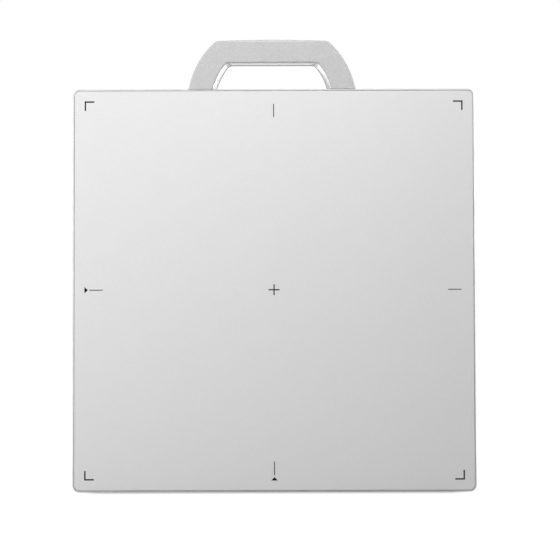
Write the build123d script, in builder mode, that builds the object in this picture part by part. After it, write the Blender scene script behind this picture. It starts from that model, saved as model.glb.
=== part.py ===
from build123d import *
import os
from math import sqrt

# X-ray flat panel detector: a square cassette that stands on its bottom edge, its entrance face
# towards -Y, with a carrying handle on its top edge. Millimetres, +Z up, the origin on the floor
# below the middle of the bottom edge.

os.makedirs("parts", exist_ok=True)

# Cassette outline
body_width = 460.0
body_height = 460.0
corner_radius = 8.0
centre_z = body_height / 2
half_width = body_width / 2

# Depths, from the entrance face to the back
front_y = -7.75
plate_front_y = -7.65
plate_rear_y = -6.15
ledge_front_y = -5.85
ledge_rear_y = -4.65
foam_rear_y = -5.35
scintillator_rear_y = -4.55
glass_rear_y = -3.85
lead_rear_y = -3.35
support_rear_y = -1.35
board_front_y = -0.35
board_rear_y = 0.85
flange_front_y = 3.55
cover_seat_y = 5.25
cover_rear_y = 7.25
feet_rear_y = 7.75

# Frame section, all measured inwards from the outer edge of the cassette
rim_width = 1.5
wall = 2.6
ledge_width = 6.0
rim_chamfer = 0.8
gasket_groove_inset = 3.4
gasket_groove_width = 1.6
gasket_groove_depth = 1.0

# Cover screw bosses and the lugs that carry the support plate
boss_inset = 7.2
boss_radius = 2.6
boss_hole_depth = 6.5
boss_stations = (-(half_width - boss_inset), -111.0, 0.0, 111.0)
lug_stations = (-166.5, -55.5, 55.5, 166.5)
lug_inset = 6.4
lug_size = 9.0
lug_screw_inset = 8.6
lug_hole_depth = 2.0
boss_web = 4.4
aperture_corner = 3.0
groove_outer_corner = 4.6
groove_inner_corner = 3.0

# Gaps between pieces, and how far a cut runs past the face that it leaves by
thread_gap = 0.02
running_gap = 0.1
flush_drop = 0.05
cut_margin = 0.5

# Screws
cover_screw_radius = 1.25
cover_screw_length = 6.0
cover_head_radius = 2.3
countersink_radius = 2.4
countersink_angle = 90
plate_screw_radius = 1.0
plate_screw_length = 3.6
board_screw_length = 3.8
plate_head_radius = 1.9
plate_head_height = 1.2
control_screw_radius = 0.8
control_screw_length = 4.0
control_head_radius = 1.4
control_head_height = 0.9
handle_screw_radius = 1.5
handle_screw_length = 11.9
handle_head_radius = 2.75
handle_head_height = 1.9

# Squares of the detector stack
foam_side = 434.0
scintillator_side = 432.0
glass_side = 438.0
lead_side = 434.0
support_side = 447.0
support_corner = 4.0
plate_chamfer = 0.2
plate_gap = 0.5

# Printed marks on the entrance plate
mark_inset = 13.5
mark_depth = 0.12
bracket_leg = 11.0
bracket_stroke = 1.65
cross_span = 12.5
cross_stroke = 1.4
tick_stroke = 1.0
tick_length = 15.4
top_tick_inset = 17.0
right_tick_inset = 16.0
arrow_tick_inset = 19.1
arrow_height = 4.0
arrow_base = 7.4
lower_arrow_z = 13.0

# Carrying handle, which stands a little to the left of the middle
handle_x = -1.8
handle_front_y = -6.55
handle_rear_y = 6.75
handle_seam_y = 0.1
handle_base_z = body_height + 0.5
handle_outer_arc_z = body_height - 17.7
handle_outer_radius = 97.9
handle_outer_corner_z = body_height + 56.1
handle_crown = 1.4
handle_outer_corner = 9.0
handle_inner_arc_z = body_height - 15.0
handle_inner_radius = 65.4
handle_inner_top_z = body_height + 28.5
handle_inner_corner = 7.0
handle_inner_crown = 0.1
handle_bevel_radius = 70.65
handle_bevel_top_z = body_height + 31.5
handle_bevel_corner = 8.0
handle_bevel_depth = 5.4
handle_bevel_round = 0.8
handle_rear_bevel = 3.0
handle_edge_round = 2.3
handle_pocket_outer = 94.0
handle_pocket_inner = 73.4
handle_pocket_top_z = body_height + 51.5
handle_pocket_bottom_z = body_height + 33.5
handle_pocket_outer_corner = 5.5
handle_pocket_inner_corner = 6.0
handle_pocket_depth = 4.0
core_gap = 0.3
core_depth_gap = 0.2
core_hole_depth = 7.0
handle_screw_x = (76.0, 88.0)
handle_pad_x = 81.0
handle_pad_width = 32.0
handle_pad_inset = 5.4

# Battery bay
battery_x = 0.0
battery_z = 150.0
battery_width = 180.0
battery_height = 110.0
battery_corner = 6.0
battery_gap = 0.6
battery_front_y = -0.25
battery_split_y = 5.65
battery_rear_y = 7.2
battery_wall = 1.2
battery_floor = 0.5
tub_edge_round = 0.4
case_edge_round = 0.5
tray_floor = 0.8
tray_wall = 1.8
contact_z = battery_z + 48.0
contact_count = 6
contact_pitch = 6.0
pin_radius = 0.6

# Battery latches
latch_x = 103.0
latch_travel = 4.0
knob_width = 12.0
knob_height = 14.0
knob_thickness = 1.0
knob_recess_depth = 1.2
bolt_width = 10.0
bolt_front_y = 3.6
bolt_rear_y = 5.0
bolt_tip_x = 91.0
bolt_length = 19.0
bolt_gap = 0.4
bolt_depth_gap = 0.3
latch_gap = 0.3

# Controls on the top edge
control_y = -0.55
power_x = 124.0
power_length = 12.0
button_width = 5.0
mode_x = 139.0
button_gap = 0.25
button_top_z = body_height - 0.2
button_chamfer = 0.3
lens_x = (147.5, 152.0, 156.5)
lens_length = 3.0
lens_width = 1.6
lens_gap = 0.05
button_board_z = 451.2
button_board_thickness = 1.0
button_board_x = 138.0
button_board_y = 0.7
button_board_length = 44.0
button_board_width = 7.8
control_post_radius = 1.4
switch_height = 0.4

# Dock port on the right-hand edge
port_z = 146.0
port_recess_length = 36.0
port_recess_front_y = -4.75
port_recess_rear_y = 3.95
port_recess_depth = 2.8
port_pad_inset = 6.4
port_pad_margin = 4.0
port_gap = 0.3
hinge_y = 2.4
hinge_inset = 1.3
barrel_radius = 1.15
hinge_pin_radius = 0.5
hinge_pin_overrun = 1.8
connector_y = -1.9
connector_length = 28.0
connector_width = 5.0

# Circuit boards: middle x, middle z, width, height
readout_area = (0.0, 29.0, 410.0, 26.0)
gate_area = (-201.0, 247.0, 26.0, 390.0)
main_area = (120.0, 345.0, 180.0, 110.0)
power_area = (-30.0, 320.0, 80.0, 60.0)
wifi_area = (-37.0, 395.0, 46.0, 30.0)
board_corner_inset = 4.0
readout_screw_z = 38.0
gate_screw_x = -192.0
flex_stations = [55.5 * (i - 3.5) for i in range(8)]
flex_width = 36.0
flex_thickness = 0.15
flex_notch_depth = 3.9

# Screw ears of the battery tray, and the posts that carry the board behind the buttons
tray_points = [(battery_x + side * 97.0, battery_z + up * 46.0) for side in (-1, 1) for up in (-1, 1)]
control_posts = ((133.2, control_y), (144.2, control_y))


def facing_front(y):
    # Sketch plane at depth y, x to the right and z upwards, its normal towards the viewer
    return Plane.XZ.offset(-y)


def towards_rear(x, y, z):
    # Place at a point, with its axis towards the back of the cassette
    return Location(Plane(origin=(x, y, z), x_dir=(1, 0, 0), z_dir=(0, 1, 0)))


def towards_floor(x, y, z):
    # Place at a point, with its axis pointing down
    return Location(Plane(origin=(x, y, z), x_dir=(1, 0, 0), z_dir=(0, 0, -1)))


def square(side, radius=0.0):
    # Square about the middle of the panel
    with Locations((0, centre_z)):
        if radius:
            RectangleRounded(side, side, radius)
        else:
            Rectangle(side, side)


def edge_points(stations, inset):
    # The stations along all four edges of the cassette, at one inset from the outer edge
    reach = half_width - inset
    points = []
    for s in stations:
        points += [(s, centre_z + reach), (reach, centre_z - s)]
        points += [(-s, centre_z - reach), (-reach, centre_z + s)]
    return points


def screw_points():
    # Board screws: one row along the long boards, the four corners of the others
    points = []
    for i in range(5):
        points.append((-200.0 + 100.0 * i, readout_screw_z))
        points.append((gate_screw_x, 60.0 + 93.5 * i))
    for x, z, width, height in (main_area, power_area, wifi_area):
        across = width / 2 - board_corner_inset
        up = height / 2 - board_corner_inset
        points += [(x - across, z - up), (x - across, z + up), (x + across, z - up), (x + across, z + up)]
    return points


def add_screws(places, shank_radius, shank_length, head_radius, head_height, countersunk=False):
    # Each place is on the outer face of the head, with its axis pointing out of the work
    below = (Align.CENTER, Align.CENTER, Align.MAX)
    with Locations(*places):
        if countersunk:
            Cone(shank_radius, head_radius, head_height, align=below)
        else:
            Cylinder(head_radius, head_height, align=below)
        Cylinder(shank_radius, head_height + shank_length, align=below)
        Cylinder(shank_radius * 0.6, head_height * 0.5, align=below, mode=Mode.SUBTRACT)


def write(piece, name):
    piece.part.label = name
    export_step(piece.part, f"parts/{name}.step")


# Side frame: a ring with a front ledge for the entrance plate and a rear flange for the cover
cavity_side = body_width - 2 * wall
window_side = body_width - 2 * ledge_width
pocket_side = body_width - 2 * rim_width
wall_middle = wall / 2
groove_side = body_width - 2 * gasket_groove_inset
inside_groove_side = groove_side - 2 * gasket_groove_width
boss_points = edge_points(boss_stations, boss_inset)
lug_screw_points = edge_points(lug_stations, lug_screw_inset)

with BuildPart() as side_frame:
    with BuildSketch(facing_front(cover_seat_y)):
        square(body_width, corner_radius)
    extrude(amount=cover_seat_y - front_y)
    chamfer(side_frame.faces().sort_by(Axis.Y)[0].edges(), rim_chamfer)
    with BuildSketch(facing_front(ledge_front_y)):
        square(pocket_side, corner_radius - rim_width)
    extrude(amount=ledge_front_y - front_y, mode=Mode.SUBTRACT)
    with BuildSketch(facing_front(cover_seat_y)):
        square(window_side, aperture_corner)
    extrude(amount=cover_seat_y - ledge_front_y, mode=Mode.SUBTRACT)
    with BuildSketch(facing_front(flange_front_y)):
        square(cavity_side, corner_radius - wall)
    extrude(amount=flange_front_y - ledge_rear_y, mode=Mode.SUBTRACT)

    # Screw bosses for the cover, each tied to the wall by a web
    with BuildSketch(facing_front(cover_seat_y)):
        with Locations(*boss_points):
            Circle(boss_radius)
    extrude(amount=cover_seat_y - ledge_front_y)
    with BuildSketch(facing_front(flange_front_y)):
        with Locations(*edge_points(boss_stations, boss_inset - boss_radius)):
            Rectangle(boss_web, boss_web)
    extrude(amount=flange_front_y - ledge_rear_y)
    with BuildSketch(facing_front(cover_seat_y)):
        with Locations(*boss_points):
            Circle(cover_screw_radius + thread_gap)
    extrude(amount=boss_hole_depth, mode=Mode.SUBTRACT)

    # Gasket groove, outside the ring of bosses
    with BuildSketch(facing_front(cover_seat_y)):
        square(groove_side, groove_outer_corner)
        with Locations((0, centre_z)):
            RectangleRounded(inside_groove_side, inside_groove_side, groove_inner_corner,
                             mode=Mode.SUBTRACT)
    extrude(amount=gasket_groove_depth, mode=Mode.SUBTRACT)

    # Lugs that the support plate is screwed to
    with BuildSketch(facing_front(lead_rear_y)):
        with Locations(*edge_points(lug_stations, lug_inset)):
            Rectangle(lug_size, lug_size)
    extrude(amount=lead_rear_y - ledge_front_y)
    with BuildSketch(facing_front(lead_rear_y)):
        with Locations(*lug_screw_points):
            Circle(plate_screw_radius + thread_gap)
    extrude(amount=lug_hole_depth, mode=Mode.SUBTRACT)

    # Thicker pads under the handle feet and behind the dock port
    with BuildSketch(facing_front(flange_front_y)):
        for side in (-1, 1):
            with Locations((handle_x + side * handle_pad_x, body_height - handle_pad_inset)):
                Rectangle(handle_pad_width, handle_pad_inset - wall_middle,
                          align=(Align.CENTER, Align.MIN))
        with Locations((half_width - port_pad_inset, port_z)):
            Rectangle(port_pad_inset - wall_middle, port_recess_length + 2 * port_pad_margin,
                      align=(Align.MIN, Align.CENTER))
    extrude(amount=flange_front_y - ledge_rear_y)
    with BuildSketch(Plane.XY.offset(body_height)):
        for side in (-1, 1):
            for x in handle_screw_x:
                with Locations((handle_x + side * x, handle_seam_y)):
                    Circle(handle_screw_radius + running_gap)
    extrude(amount=-(handle_pad_inset + cut_margin), mode=Mode.SUBTRACT)

    # Posts for the board behind the buttons, and the holes for the buttons and lenses
    with BuildSketch(Plane.XY.offset(button_board_z + button_board_thickness)):
        with Locations(*control_posts):
            Circle(control_post_radius)
            Circle(control_screw_radius + thread_gap, mode=Mode.SUBTRACT)
    extrude(amount=body_height - wall - button_board_z - button_board_thickness)
    with BuildSketch(Plane.XY.offset(body_height)):
        with Locations((power_x, control_y)):
            SlotOverall(power_length + 2 * button_gap, button_width + 2 * button_gap)
        with Locations((mode_x, control_y)):
            Circle(button_width / 2 + button_gap)
        for x in lens_x:
            with Locations((x, control_y)):
                SlotOverall(lens_length + 2 * lens_gap, lens_width + 2 * lens_gap)
    extrude(amount=-(wall + cut_margin), mode=Mode.SUBTRACT)

    # Dock port: a recess for its cover, the opening for the connector and the pin bores
    port_recess_width = port_recess_rear_y - port_recess_front_y
    port_recess_middle_y = (port_recess_rear_y + port_recess_front_y) / 2
    with BuildSketch(Plane.YZ.offset(half_width)):
        with Locations((port_recess_middle_y, port_z)):
            Rectangle(port_recess_width, port_recess_length)
    extrude(amount=-port_recess_depth, mode=Mode.SUBTRACT)
    with BuildSketch(Plane.YZ.offset(half_width)):
        with Locations((connector_y, port_z)):
            Rectangle(connector_width + 2 * running_gap, connector_length + 2 * running_gap)
    extrude(amount=-(port_pad_inset + cut_margin), mode=Mode.SUBTRACT)
    bore_half_length = port_recess_length / 2 + hinge_pin_overrun + running_gap
    with BuildSketch(Plane.XY.offset(port_z - bore_half_length)):
        with Locations((half_width - hinge_inset, hinge_y)):
            Circle(hinge_pin_radius + thread_gap)
    extrude(amount=2 * bore_half_length, mode=Mode.SUBTRACT)
write(side_frame, "side_frame")


# Entrance plate with its inlaid marks
def marks():
    # Corner brackets, centre cross, edge ticks and the two arrows, in the plane of the plate
    reach = half_width - mark_inset
    for across in (-1, 1):
        for up in (-1, 1):
            with Locations((across * (reach - bracket_leg / 2),
                            centre_z + up * (reach - bracket_stroke / 2))):
                Rectangle(bracket_leg, bracket_stroke)
            with Locations((across * (reach - bracket_stroke / 2),
                            centre_z + up * (reach - bracket_leg / 2))):
                Rectangle(bracket_stroke, bracket_leg)
    with Locations((0, centre_z)):
        Rectangle(cross_span, cross_stroke)
        Rectangle(cross_stroke, cross_span)
    with Locations((0, body_height - top_tick_inset - tick_length / 2),
                   (0, arrow_tick_inset + tick_length / 2)):
        Rectangle(tick_stroke, tick_length)
    with Locations((half_width - right_tick_inset - tick_length / 2, centre_z),
                   (-half_width + arrow_tick_inset + tick_length / 2, centre_z)):
        Rectangle(tick_length, tick_stroke)
    Polygon((-reach, centre_z - arrow_base / 2), (-reach + arrow_height, centre_z),
            (-reach, centre_z + arrow_base / 2), align=None)
    Polygon((-arrow_base / 2, lower_arrow_z), (arrow_base / 2, lower_arrow_z),
            (0, lower_arrow_z + arrow_height), align=None)


plate_side = pocket_side - 2 * plate_gap

with BuildPart() as front_plate:
    with BuildSketch(facing_front(plate_rear_y)):
        square(plate_side, corner_radius - rim_width - plate_gap)
    extrude(amount=plate_rear_y - plate_front_y)
    chamfer(front_plate.faces().sort_by(Axis.Y)[0].edges(), plate_chamfer)
    with BuildSketch(facing_front(plate_front_y + mark_depth)):
        marks()
    extrude(amount=mark_depth, mode=Mode.SUBTRACT)
write(front_plate, "front_plate")

with BuildPart() as alignment_marks:
    with BuildSketch(facing_front(plate_front_y + mark_depth)):
        marks()
    extrude(amount=mark_depth)
write(alignment_marks, "alignment_marks")


def ring(name, outer_side, inner_side, rear_y, front_face_y, outer_radius, inner_radius):
    # Flat square ring, such as a gasket
    with BuildPart() as piece:
        with BuildSketch(facing_front(rear_y)):
            square(outer_side, outer_radius)
            with Locations((0, centre_z)):
                RectangleRounded(inner_side, inner_side, inner_radius, mode=Mode.SUBTRACT)
        extrude(amount=rear_y - front_face_y)
    write(piece, name)


front_gasket_outer_inset = 2.4
front_gasket_inner_inset = 5.6
front_gasket_corner = 5.0
ring("front_gasket", body_width - 2 * front_gasket_outer_inset,
     body_width - 2 * front_gasket_inner_inset, ledge_front_y, plate_rear_y,
     front_gasket_corner, aperture_corner)
ring("rear_gasket", groove_side - running_gap, inside_groove_side + running_gap, cover_seat_y,
     cover_seat_y - gasket_groove_depth, groove_outer_corner, groove_inner_corner)


# Detector stack: foam, scintillator, sensor glass and lead, each a plain sheet
def sheet(name, side, rear_y, front_face_y):
    with BuildPart() as piece:
        with BuildSketch(facing_front(rear_y)):
            square(side)
        extrude(amount=rear_y - front_face_y)
    write(piece, name)


sheet("foam_pad", foam_side, foam_rear_y, plate_rear_y)
sheet("scintillator", scintillator_side, scintillator_rear_y, foam_rear_y)
sheet("sensor_glass", glass_side, glass_rear_y, scintillator_rear_y)
sheet("lead_sheet", lead_side, lead_rear_y, glass_rear_y)

# Support plate, cut back around bosses, flexes, handle pads, controls and the dock port
support_edge = support_side / 2
boss_clearance = 0.6
notch_clearance = 2.0
handle_notch_depth = 1.8
control_notch_x = 137.5
control_notch_width = 47.0
control_notch_depth = 4.2
port_notch_depth = 3.0
port_notch_length = 46.0

with BuildPart() as support_plate:
    with BuildSketch(facing_front(support_rear_y)):
        square(support_side, support_corner)
        with Locations(*boss_points):
            Circle(boss_radius + boss_clearance, mode=Mode.SUBTRACT)
        for s in flex_stations:
            with Locations((s, centre_z - support_edge)):
                Rectangle(flex_width + 2 * notch_clearance, 2 * flex_notch_depth,
                          mode=Mode.SUBTRACT)
            with Locations((-support_edge, centre_z + s)):
                Rectangle(2 * flex_notch_depth, flex_width + 2 * notch_clearance,
                          mode=Mode.SUBTRACT)
        for side in (-1, 1):
            with Locations((handle_x + side * handle_pad_x, centre_z + support_edge)):
                Rectangle(handle_pad_width + 2 * notch_clearance, 2 * handle_notch_depth,
                          mode=Mode.SUBTRACT)
        with Locations((control_notch_x, centre_z + support_edge)):
            Rectangle(control_notch_width, 2 * control_notch_depth, mode=Mode.SUBTRACT)
        with Locations((support_edge, port_z)):
            Rectangle(2 * port_notch_depth, port_notch_length, mode=Mode.SUBTRACT)
        with Locations(*lug_screw_points, *screw_points(), *tray_points):
            Circle(plate_screw_radius + thread_gap, mode=Mode.SUBTRACT)
    extrude(amount=support_rear_y - lead_rear_y)
write(support_plate, "support_plate")

with BuildPart() as support_screws:
    add_screws([towards_rear(x, support_rear_y + plate_head_height, z)
                for x, z in lug_screw_points],
               plate_screw_radius, plate_screw_length, plate_head_radius, plate_head_height)
write(support_screws, "support_screws")


# Flexes that wrap from the edge of the glass to the boards, and the chips they carry
flex_front_y = scintillator_rear_y - flex_thickness / 2
flex_rear_y = board_rear_y + flex_thickness / 2
flex_glass_inset = 13.8
flex_turn_inset = 9.2
flex_board_inset = 26.0
flex_path = ((flex_glass_inset, flex_front_y), (flex_turn_inset, flex_front_y),
             (flex_turn_inset, flex_rear_y), (flex_board_inset, flex_rear_y))
flex_bend = 0.8
gate_stations = flex_stations[1:]
chip_inset = 20.0
chip_length = 16.0
chip_width = 4.0
chip_height = 0.6

with BuildPart() as sensor_flexes:
    for s in flex_stations:
        with BuildSketch(Plane.YZ.offset(s - flex_width / 2)):
            with BuildLine():
                FilletPolyline(*[(y, inset) for inset, y in flex_path], radius=flex_bend)
            trace(line_width=flex_thickness)
        extrude(amount=flex_width)
    for s in gate_stations:
        with BuildSketch(Plane.XY.offset(centre_z + s - flex_width / 2)):
            with BuildLine():
                FilletPolyline(*[(inset - half_width, y) for inset, y in flex_path],
                               radius=flex_bend)
            trace(line_width=flex_thickness)
        extrude(amount=flex_width)
write(sensor_flexes, "sensor_flexes")

chip_rear_y = board_rear_y + flex_thickness + chip_height
with BuildPart() as flex_chips:
    with BuildSketch(facing_front(chip_rear_y)):
        with Locations(*[(s, chip_inset) for s in flex_stations]):
            Rectangle(chip_length, chip_width)
        with Locations(*[(chip_inset - half_width, centre_z + s) for s in gate_stations]):
            Rectangle(chip_width, chip_length)
    extrude(amount=chip_height)
write(flex_chips, "flex_chips")


# Circuit boards on their standoffs
def board(name, area):
    with BuildPart() as piece:
        with BuildSketch(facing_front(board_rear_y)):
            with Locations((area[0], area[1])):
                Rectangle(area[2], area[3])
            with Locations(*screw_points()):
                Circle(plate_screw_radius + running_gap, mode=Mode.SUBTRACT)
        extrude(amount=board_rear_y - board_front_y)
    write(piece, name)


board("readout_board", readout_area)
board("gate_board", gate_area)
board("main_board", main_area)
board("power_board", power_area)
board("wifi_module", wifi_area)

standoff_radius = 2.0
with BuildPart() as board_standoffs:
    with BuildSketch(facing_front(board_front_y)):
        with Locations(*screw_points()):
            Circle(standoff_radius)
            Circle(plate_screw_radius + running_gap, mode=Mode.SUBTRACT)
    extrude(amount=board_front_y - support_rear_y)
write(board_standoffs, "board_standoffs")

with BuildPart() as board_screws:
    add_screws([towards_rear(x, board_rear_y + plate_head_height, z)
                for x, z in screw_points() + tray_points],
               plate_screw_radius, board_screw_length, plate_head_radius, plate_head_height)
    add_screws([towards_floor(x, y, button_board_z - control_head_height)
                for x, y in control_posts],
               control_screw_radius, control_screw_length, control_head_radius,
               control_head_height)
write(board_screws, "board_screws")


def rectangles(*areas):
    # Rectangles in the current sketch: middle x, middle z, width and height of each
    for x, z, width, height in areas:
        with Locations((x, z)):
            Rectangle(width, height)


# Chips and sockets: middle x, middle z, width and height of each
processor = (86.0, 348.0, 27.0, 27.0)
processor_height = 1.8
memories = [(54.0, 330.0 + 18.0 * i, 12.0, 14.0) for i in range(3)]
memory_height = 1.0
inductors = [(-50.0 + 20.0 * i, 312.0 + 22.0 * j, 12.0, 12.0) for i in range(3) for j in range(2)]
inductor_height = 3.0
cable_sockets = ((150.0, 31.0, 22.0, 5.0), (150.0, 296.5, 22.0, 5.0), (-198.5, 365.0, 5.0, 20.0),
                 (36.5, 365.0, 5.0, 20.0), (3.5, 322.0, 5.0, 18.0), (36.5, 322.0, 5.0, 18.0),
                 (-10.0, 296.5, 22.0, 5.0), (192.0, 296.5, 14.0, 5.0), (136.0, 393.5, 14.0, 5.0))
socket_height = 1.4
lead_socket = 4.0
lead_starts = ((-45.0, 409.0), (-29.0, 409.0))
lead_y = 1.7
lead_radius = 0.5
lead_bend = 8.0
switch_size = 4.0
lamp_length = 2.0
lamp_width = 1.2

with BuildPart() as board_chips:
    with BuildSketch(facing_front(board_rear_y + processor_height)):
        rectangles(processor)
    extrude(amount=processor_height)
    with BuildSketch(facing_front(board_rear_y + memory_height)):
        rectangles(*memories)
    extrude(amount=memory_height)
    with BuildSketch(facing_front(board_rear_y + inductor_height)):
        rectangles(*inductors)
    extrude(amount=inductor_height)
    # A socket at each end of every cable, and one below each antenna lead
    with BuildSketch(facing_front(board_rear_y + socket_height)):
        rectangles(*cable_sockets)
        for x, z in lead_starts:
            rectangles((x, z - lead_socket / 2, lead_socket, lead_socket))
    extrude(amount=socket_height)
    # Switches and lamps on the board behind the buttons
    with BuildSketch(Plane.XY.offset(button_board_z + button_board_thickness)):
        with Locations((power_x, control_y), (mode_x, control_y)):
            Rectangle(switch_size, switch_size)
        for x in lens_x:
            with Locations((x, control_y)):
                Rectangle(lamp_length, lamp_width)
    extrude(amount=switch_height)
write(board_chips, "board_chips")

shield_areas = ((165.0, 372.0, 54.0, 30.0), (165.0, 326.0, 54.0, 36.0), (-37.0, 393.0, 26.0, 18.0))
shield_height = 2.6
shield_wall = 0.4
with BuildPart() as board_shields:
    with BuildSketch(facing_front(board_rear_y + shield_height)):
        rectangles(*shield_areas)
    extrude(amount=shield_height)
    with BuildSketch(facing_front(board_rear_y + shield_height - shield_wall)):
        for x, z, width, height in shield_areas:
            rectangles((x, z, width - 2 * shield_wall, height - 2 * shield_wall))
    extrude(amount=shield_height - shield_wall, mode=Mode.SUBTRACT)
write(board_shields, "board_shields")

cable_runs = ((150.0, 163.75, 20.0, 260.5), (-81.0, 365.0, 230.0, 18.0), (-10.0, 250.9, 20.0, 86.2),
              (20.0, 322.0, 28.0, 16.0), (136.0, 423.6, 12.0, 55.2), (204.0, port_z, 36.0, 12.0),
              (192.0, 217.0, 12.0, 154.0))
cable_thickness = 0.2
with BuildPart() as flat_cables:
    with BuildSketch(facing_front(board_rear_y + cable_thickness)):
        rectangles(*cable_runs)
    extrude(amount=cable_thickness)
write(flat_cables, "flat_cables")

# Antenna blocks under the cover windows, with their leads from the wireless module
antenna_places = ((-150.0, 430.0), (180.0, 430.0))
antenna_width = 60.0
antenna_height = 10.0
antenna_rear_y = 2.1
with BuildPart() as antennas:
    with BuildSketch(facing_front(antenna_rear_y)):
        with Locations(*antenna_places):
            Rectangle(antenna_width, antenna_height)
    extrude(amount=antenna_rear_y - support_rear_y)
write(antennas, "antennas")

lead_ends = (antenna_places[0][0] + antenna_width / 2, antenna_places[1][0] - antenna_width / 2)
with BuildPart() as antenna_leads:
    for (x, z), end_x in zip(lead_starts, lead_ends):
        with BuildLine() as route:
            FilletPolyline((x, lead_y, z), (x, lead_y, antenna_places[0][1]),
                           (end_x, lead_y, antenna_places[0][1]), radius=lead_bend)
        with BuildSketch(Plane(origin=(x, lead_y, z), z_dir=(0, 0, 1))):
            Circle(lead_radius)
        sweep(path=route.line)
write(antenna_leads, "antenna_leads")

with BuildPart() as thermal_pad:
    with BuildSketch(facing_front(cover_seat_y)):
        rectangles(processor)
    extrude(amount=cover_seat_y - board_rear_y - processor_height)
write(thermal_pad, "thermal_pad")


# Battery tray, with the windows for the latch bolts and its screw ears
tray_front_y = support_rear_y
tray_floor_y = tray_front_y + tray_floor
bay_width = battery_width + 2 * battery_gap
bay_height = battery_height + 2 * battery_gap
bay_corner = battery_corner + battery_gap
ear_height = board_rear_y - support_rear_y
ear_width = 12.0
ear_length = 9.0

with BuildPart() as battery_tray:
    with BuildSketch(facing_front(cover_seat_y)):
        with Locations((battery_x, battery_z)):
            RectangleRounded(bay_width + 2 * tray_wall, bay_height + 2 * tray_wall,
                             bay_corner + tray_wall)
    extrude(amount=cover_seat_y - tray_front_y)
    with BuildSketch(facing_front(tray_front_y + ear_height)):
        with Locations(*tray_points):
            Rectangle(ear_width, ear_length)
    extrude(amount=ear_height)
    with BuildSketch(facing_front(cover_seat_y)):
        with Locations((battery_x, battery_z)):
            RectangleRounded(bay_width, bay_height, bay_corner)
    extrude(amount=cover_seat_y - tray_floor_y, mode=Mode.SUBTRACT)
    with BuildSketch(facing_front(tray_front_y + ear_height)):
        with Locations(*tray_points):
            Circle(plate_screw_radius + running_gap)
    extrude(amount=ear_height, mode=Mode.SUBTRACT)
    with BuildSketch(facing_front(cover_seat_y)):
        with Locations((battery_x, battery_z)):
            Rectangle(bay_width + 2 * (tray_wall + cut_margin), bolt_width + 2 * bolt_gap)
    extrude(amount=cover_seat_y - bolt_front_y + bolt_depth_gap, mode=Mode.SUBTRACT)
write(battery_tray, "battery_tray")

# Sprung contacts in the tray
pin_places = [(battery_x + contact_pitch * (i - (contact_count - 1) / 2), contact_z)
              for i in range(contact_count)]
contact_block_width = 40.0
contact_block_height = 8.0
contact_block_rear_y = 2.0
pin_hole_front_y = -0.3
pin_front_y = 0.3
pin_tip_y = 2.95
pin_chamfer = 0.2
with BuildPart() as contact_block:
    with BuildSketch(facing_front(contact_block_rear_y)):
        with Locations((battery_x, contact_z)):
            Rectangle(contact_block_width, contact_block_height)
    extrude(amount=contact_block_rear_y - tray_floor_y)
    with BuildSketch(facing_front(contact_block_rear_y)):
        with Locations(*pin_places):
            Circle(pin_radius + running_gap)
    extrude(amount=contact_block_rear_y - pin_hole_front_y, mode=Mode.SUBTRACT)
write(contact_block, "contact_block")

with BuildPart() as contact_pins:
    with BuildSketch(facing_front(pin_tip_y)):
        with Locations(*pin_places):
            Circle(pin_radius)
    extrude(amount=pin_tip_y - pin_front_y)
    chamfer(contact_pins.faces().group_by(Axis.Y)[-1].edges(), pin_chamfer)
write(contact_pins, "contact_pins")

# Battery pack: tub, cells, board, contact pads and lid
recess_half_width = 23.0
recess_half_height = 5.5
recess_depth = 3.5
notch_depth = 3.5
notch_height = 12.0
notch_gap = 0.35
notch_block_width = notch_depth + battery_wall
pad_width = 3.6
pad_height = 5.0
pad_thickness = 0.2
recess_floor_y = battery_front_y + recess_depth
tub_floor_y = battery_front_y + battery_floor

with BuildPart() as battery_inner_case:
    with BuildSketch(facing_front(battery_split_y)):
        with Locations((battery_x, battery_z)):
            RectangleRounded(battery_width, battery_height, battery_corner)
    extrude(amount=battery_split_y - battery_front_y)
    fillet(battery_inner_case.faces().sort_by(Axis.Y)[0].edges(), tub_edge_round)
    with BuildSketch(facing_front(battery_split_y)):
        with Locations((battery_x, battery_z)):
            RectangleRounded(battery_width - 2 * battery_wall, battery_height - 2 * battery_wall,
                             battery_corner - battery_wall)
    extrude(amount=battery_split_y - tub_floor_y, mode=Mode.SUBTRACT)
    # Raised floor over the contacts
    with BuildSketch(facing_front(recess_floor_y + battery_floor)):
        with Locations((battery_x, contact_z)):
            Rectangle(2 * (recess_half_width + battery_wall),
                      2 * (recess_half_height + battery_wall))
    extrude(amount=recess_depth)
    with BuildSketch(facing_front(recess_floor_y)):
        with Locations((battery_x, contact_z)):
            Rectangle(2 * recess_half_width, 2 * recess_half_height)
    extrude(amount=recess_depth, mode=Mode.SUBTRACT)
    # Blocks with the notches that the latch bolts enter
    with BuildSketch(facing_front(battery_split_y)):
        for side in (-1, 1):
            with Locations((battery_x + side * (battery_width - notch_block_width) / 2, battery_z)):
                Rectangle(notch_block_width, notch_height + 2 * battery_wall)
    extrude(amount=battery_split_y - tub_floor_y)
    with BuildSketch(facing_front(bolt_rear_y + notch_gap)):
        for side in (-1, 1):
            with Locations((battery_x + side * (battery_width - notch_depth) / 2, battery_z)):
                Rectangle(notch_depth, notch_height)
    extrude(amount=bolt_rear_y - bolt_front_y + 2 * notch_gap, mode=Mode.SUBTRACT)
write(battery_inner_case, "battery_inner_case")

with BuildPart() as battery_pads:
    with BuildSketch(facing_front(recess_floor_y)):
        with Locations(*pin_places):
            Rectangle(pad_width, pad_height)
    extrude(amount=pad_thickness)
write(battery_pads, "battery_pads")

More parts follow.
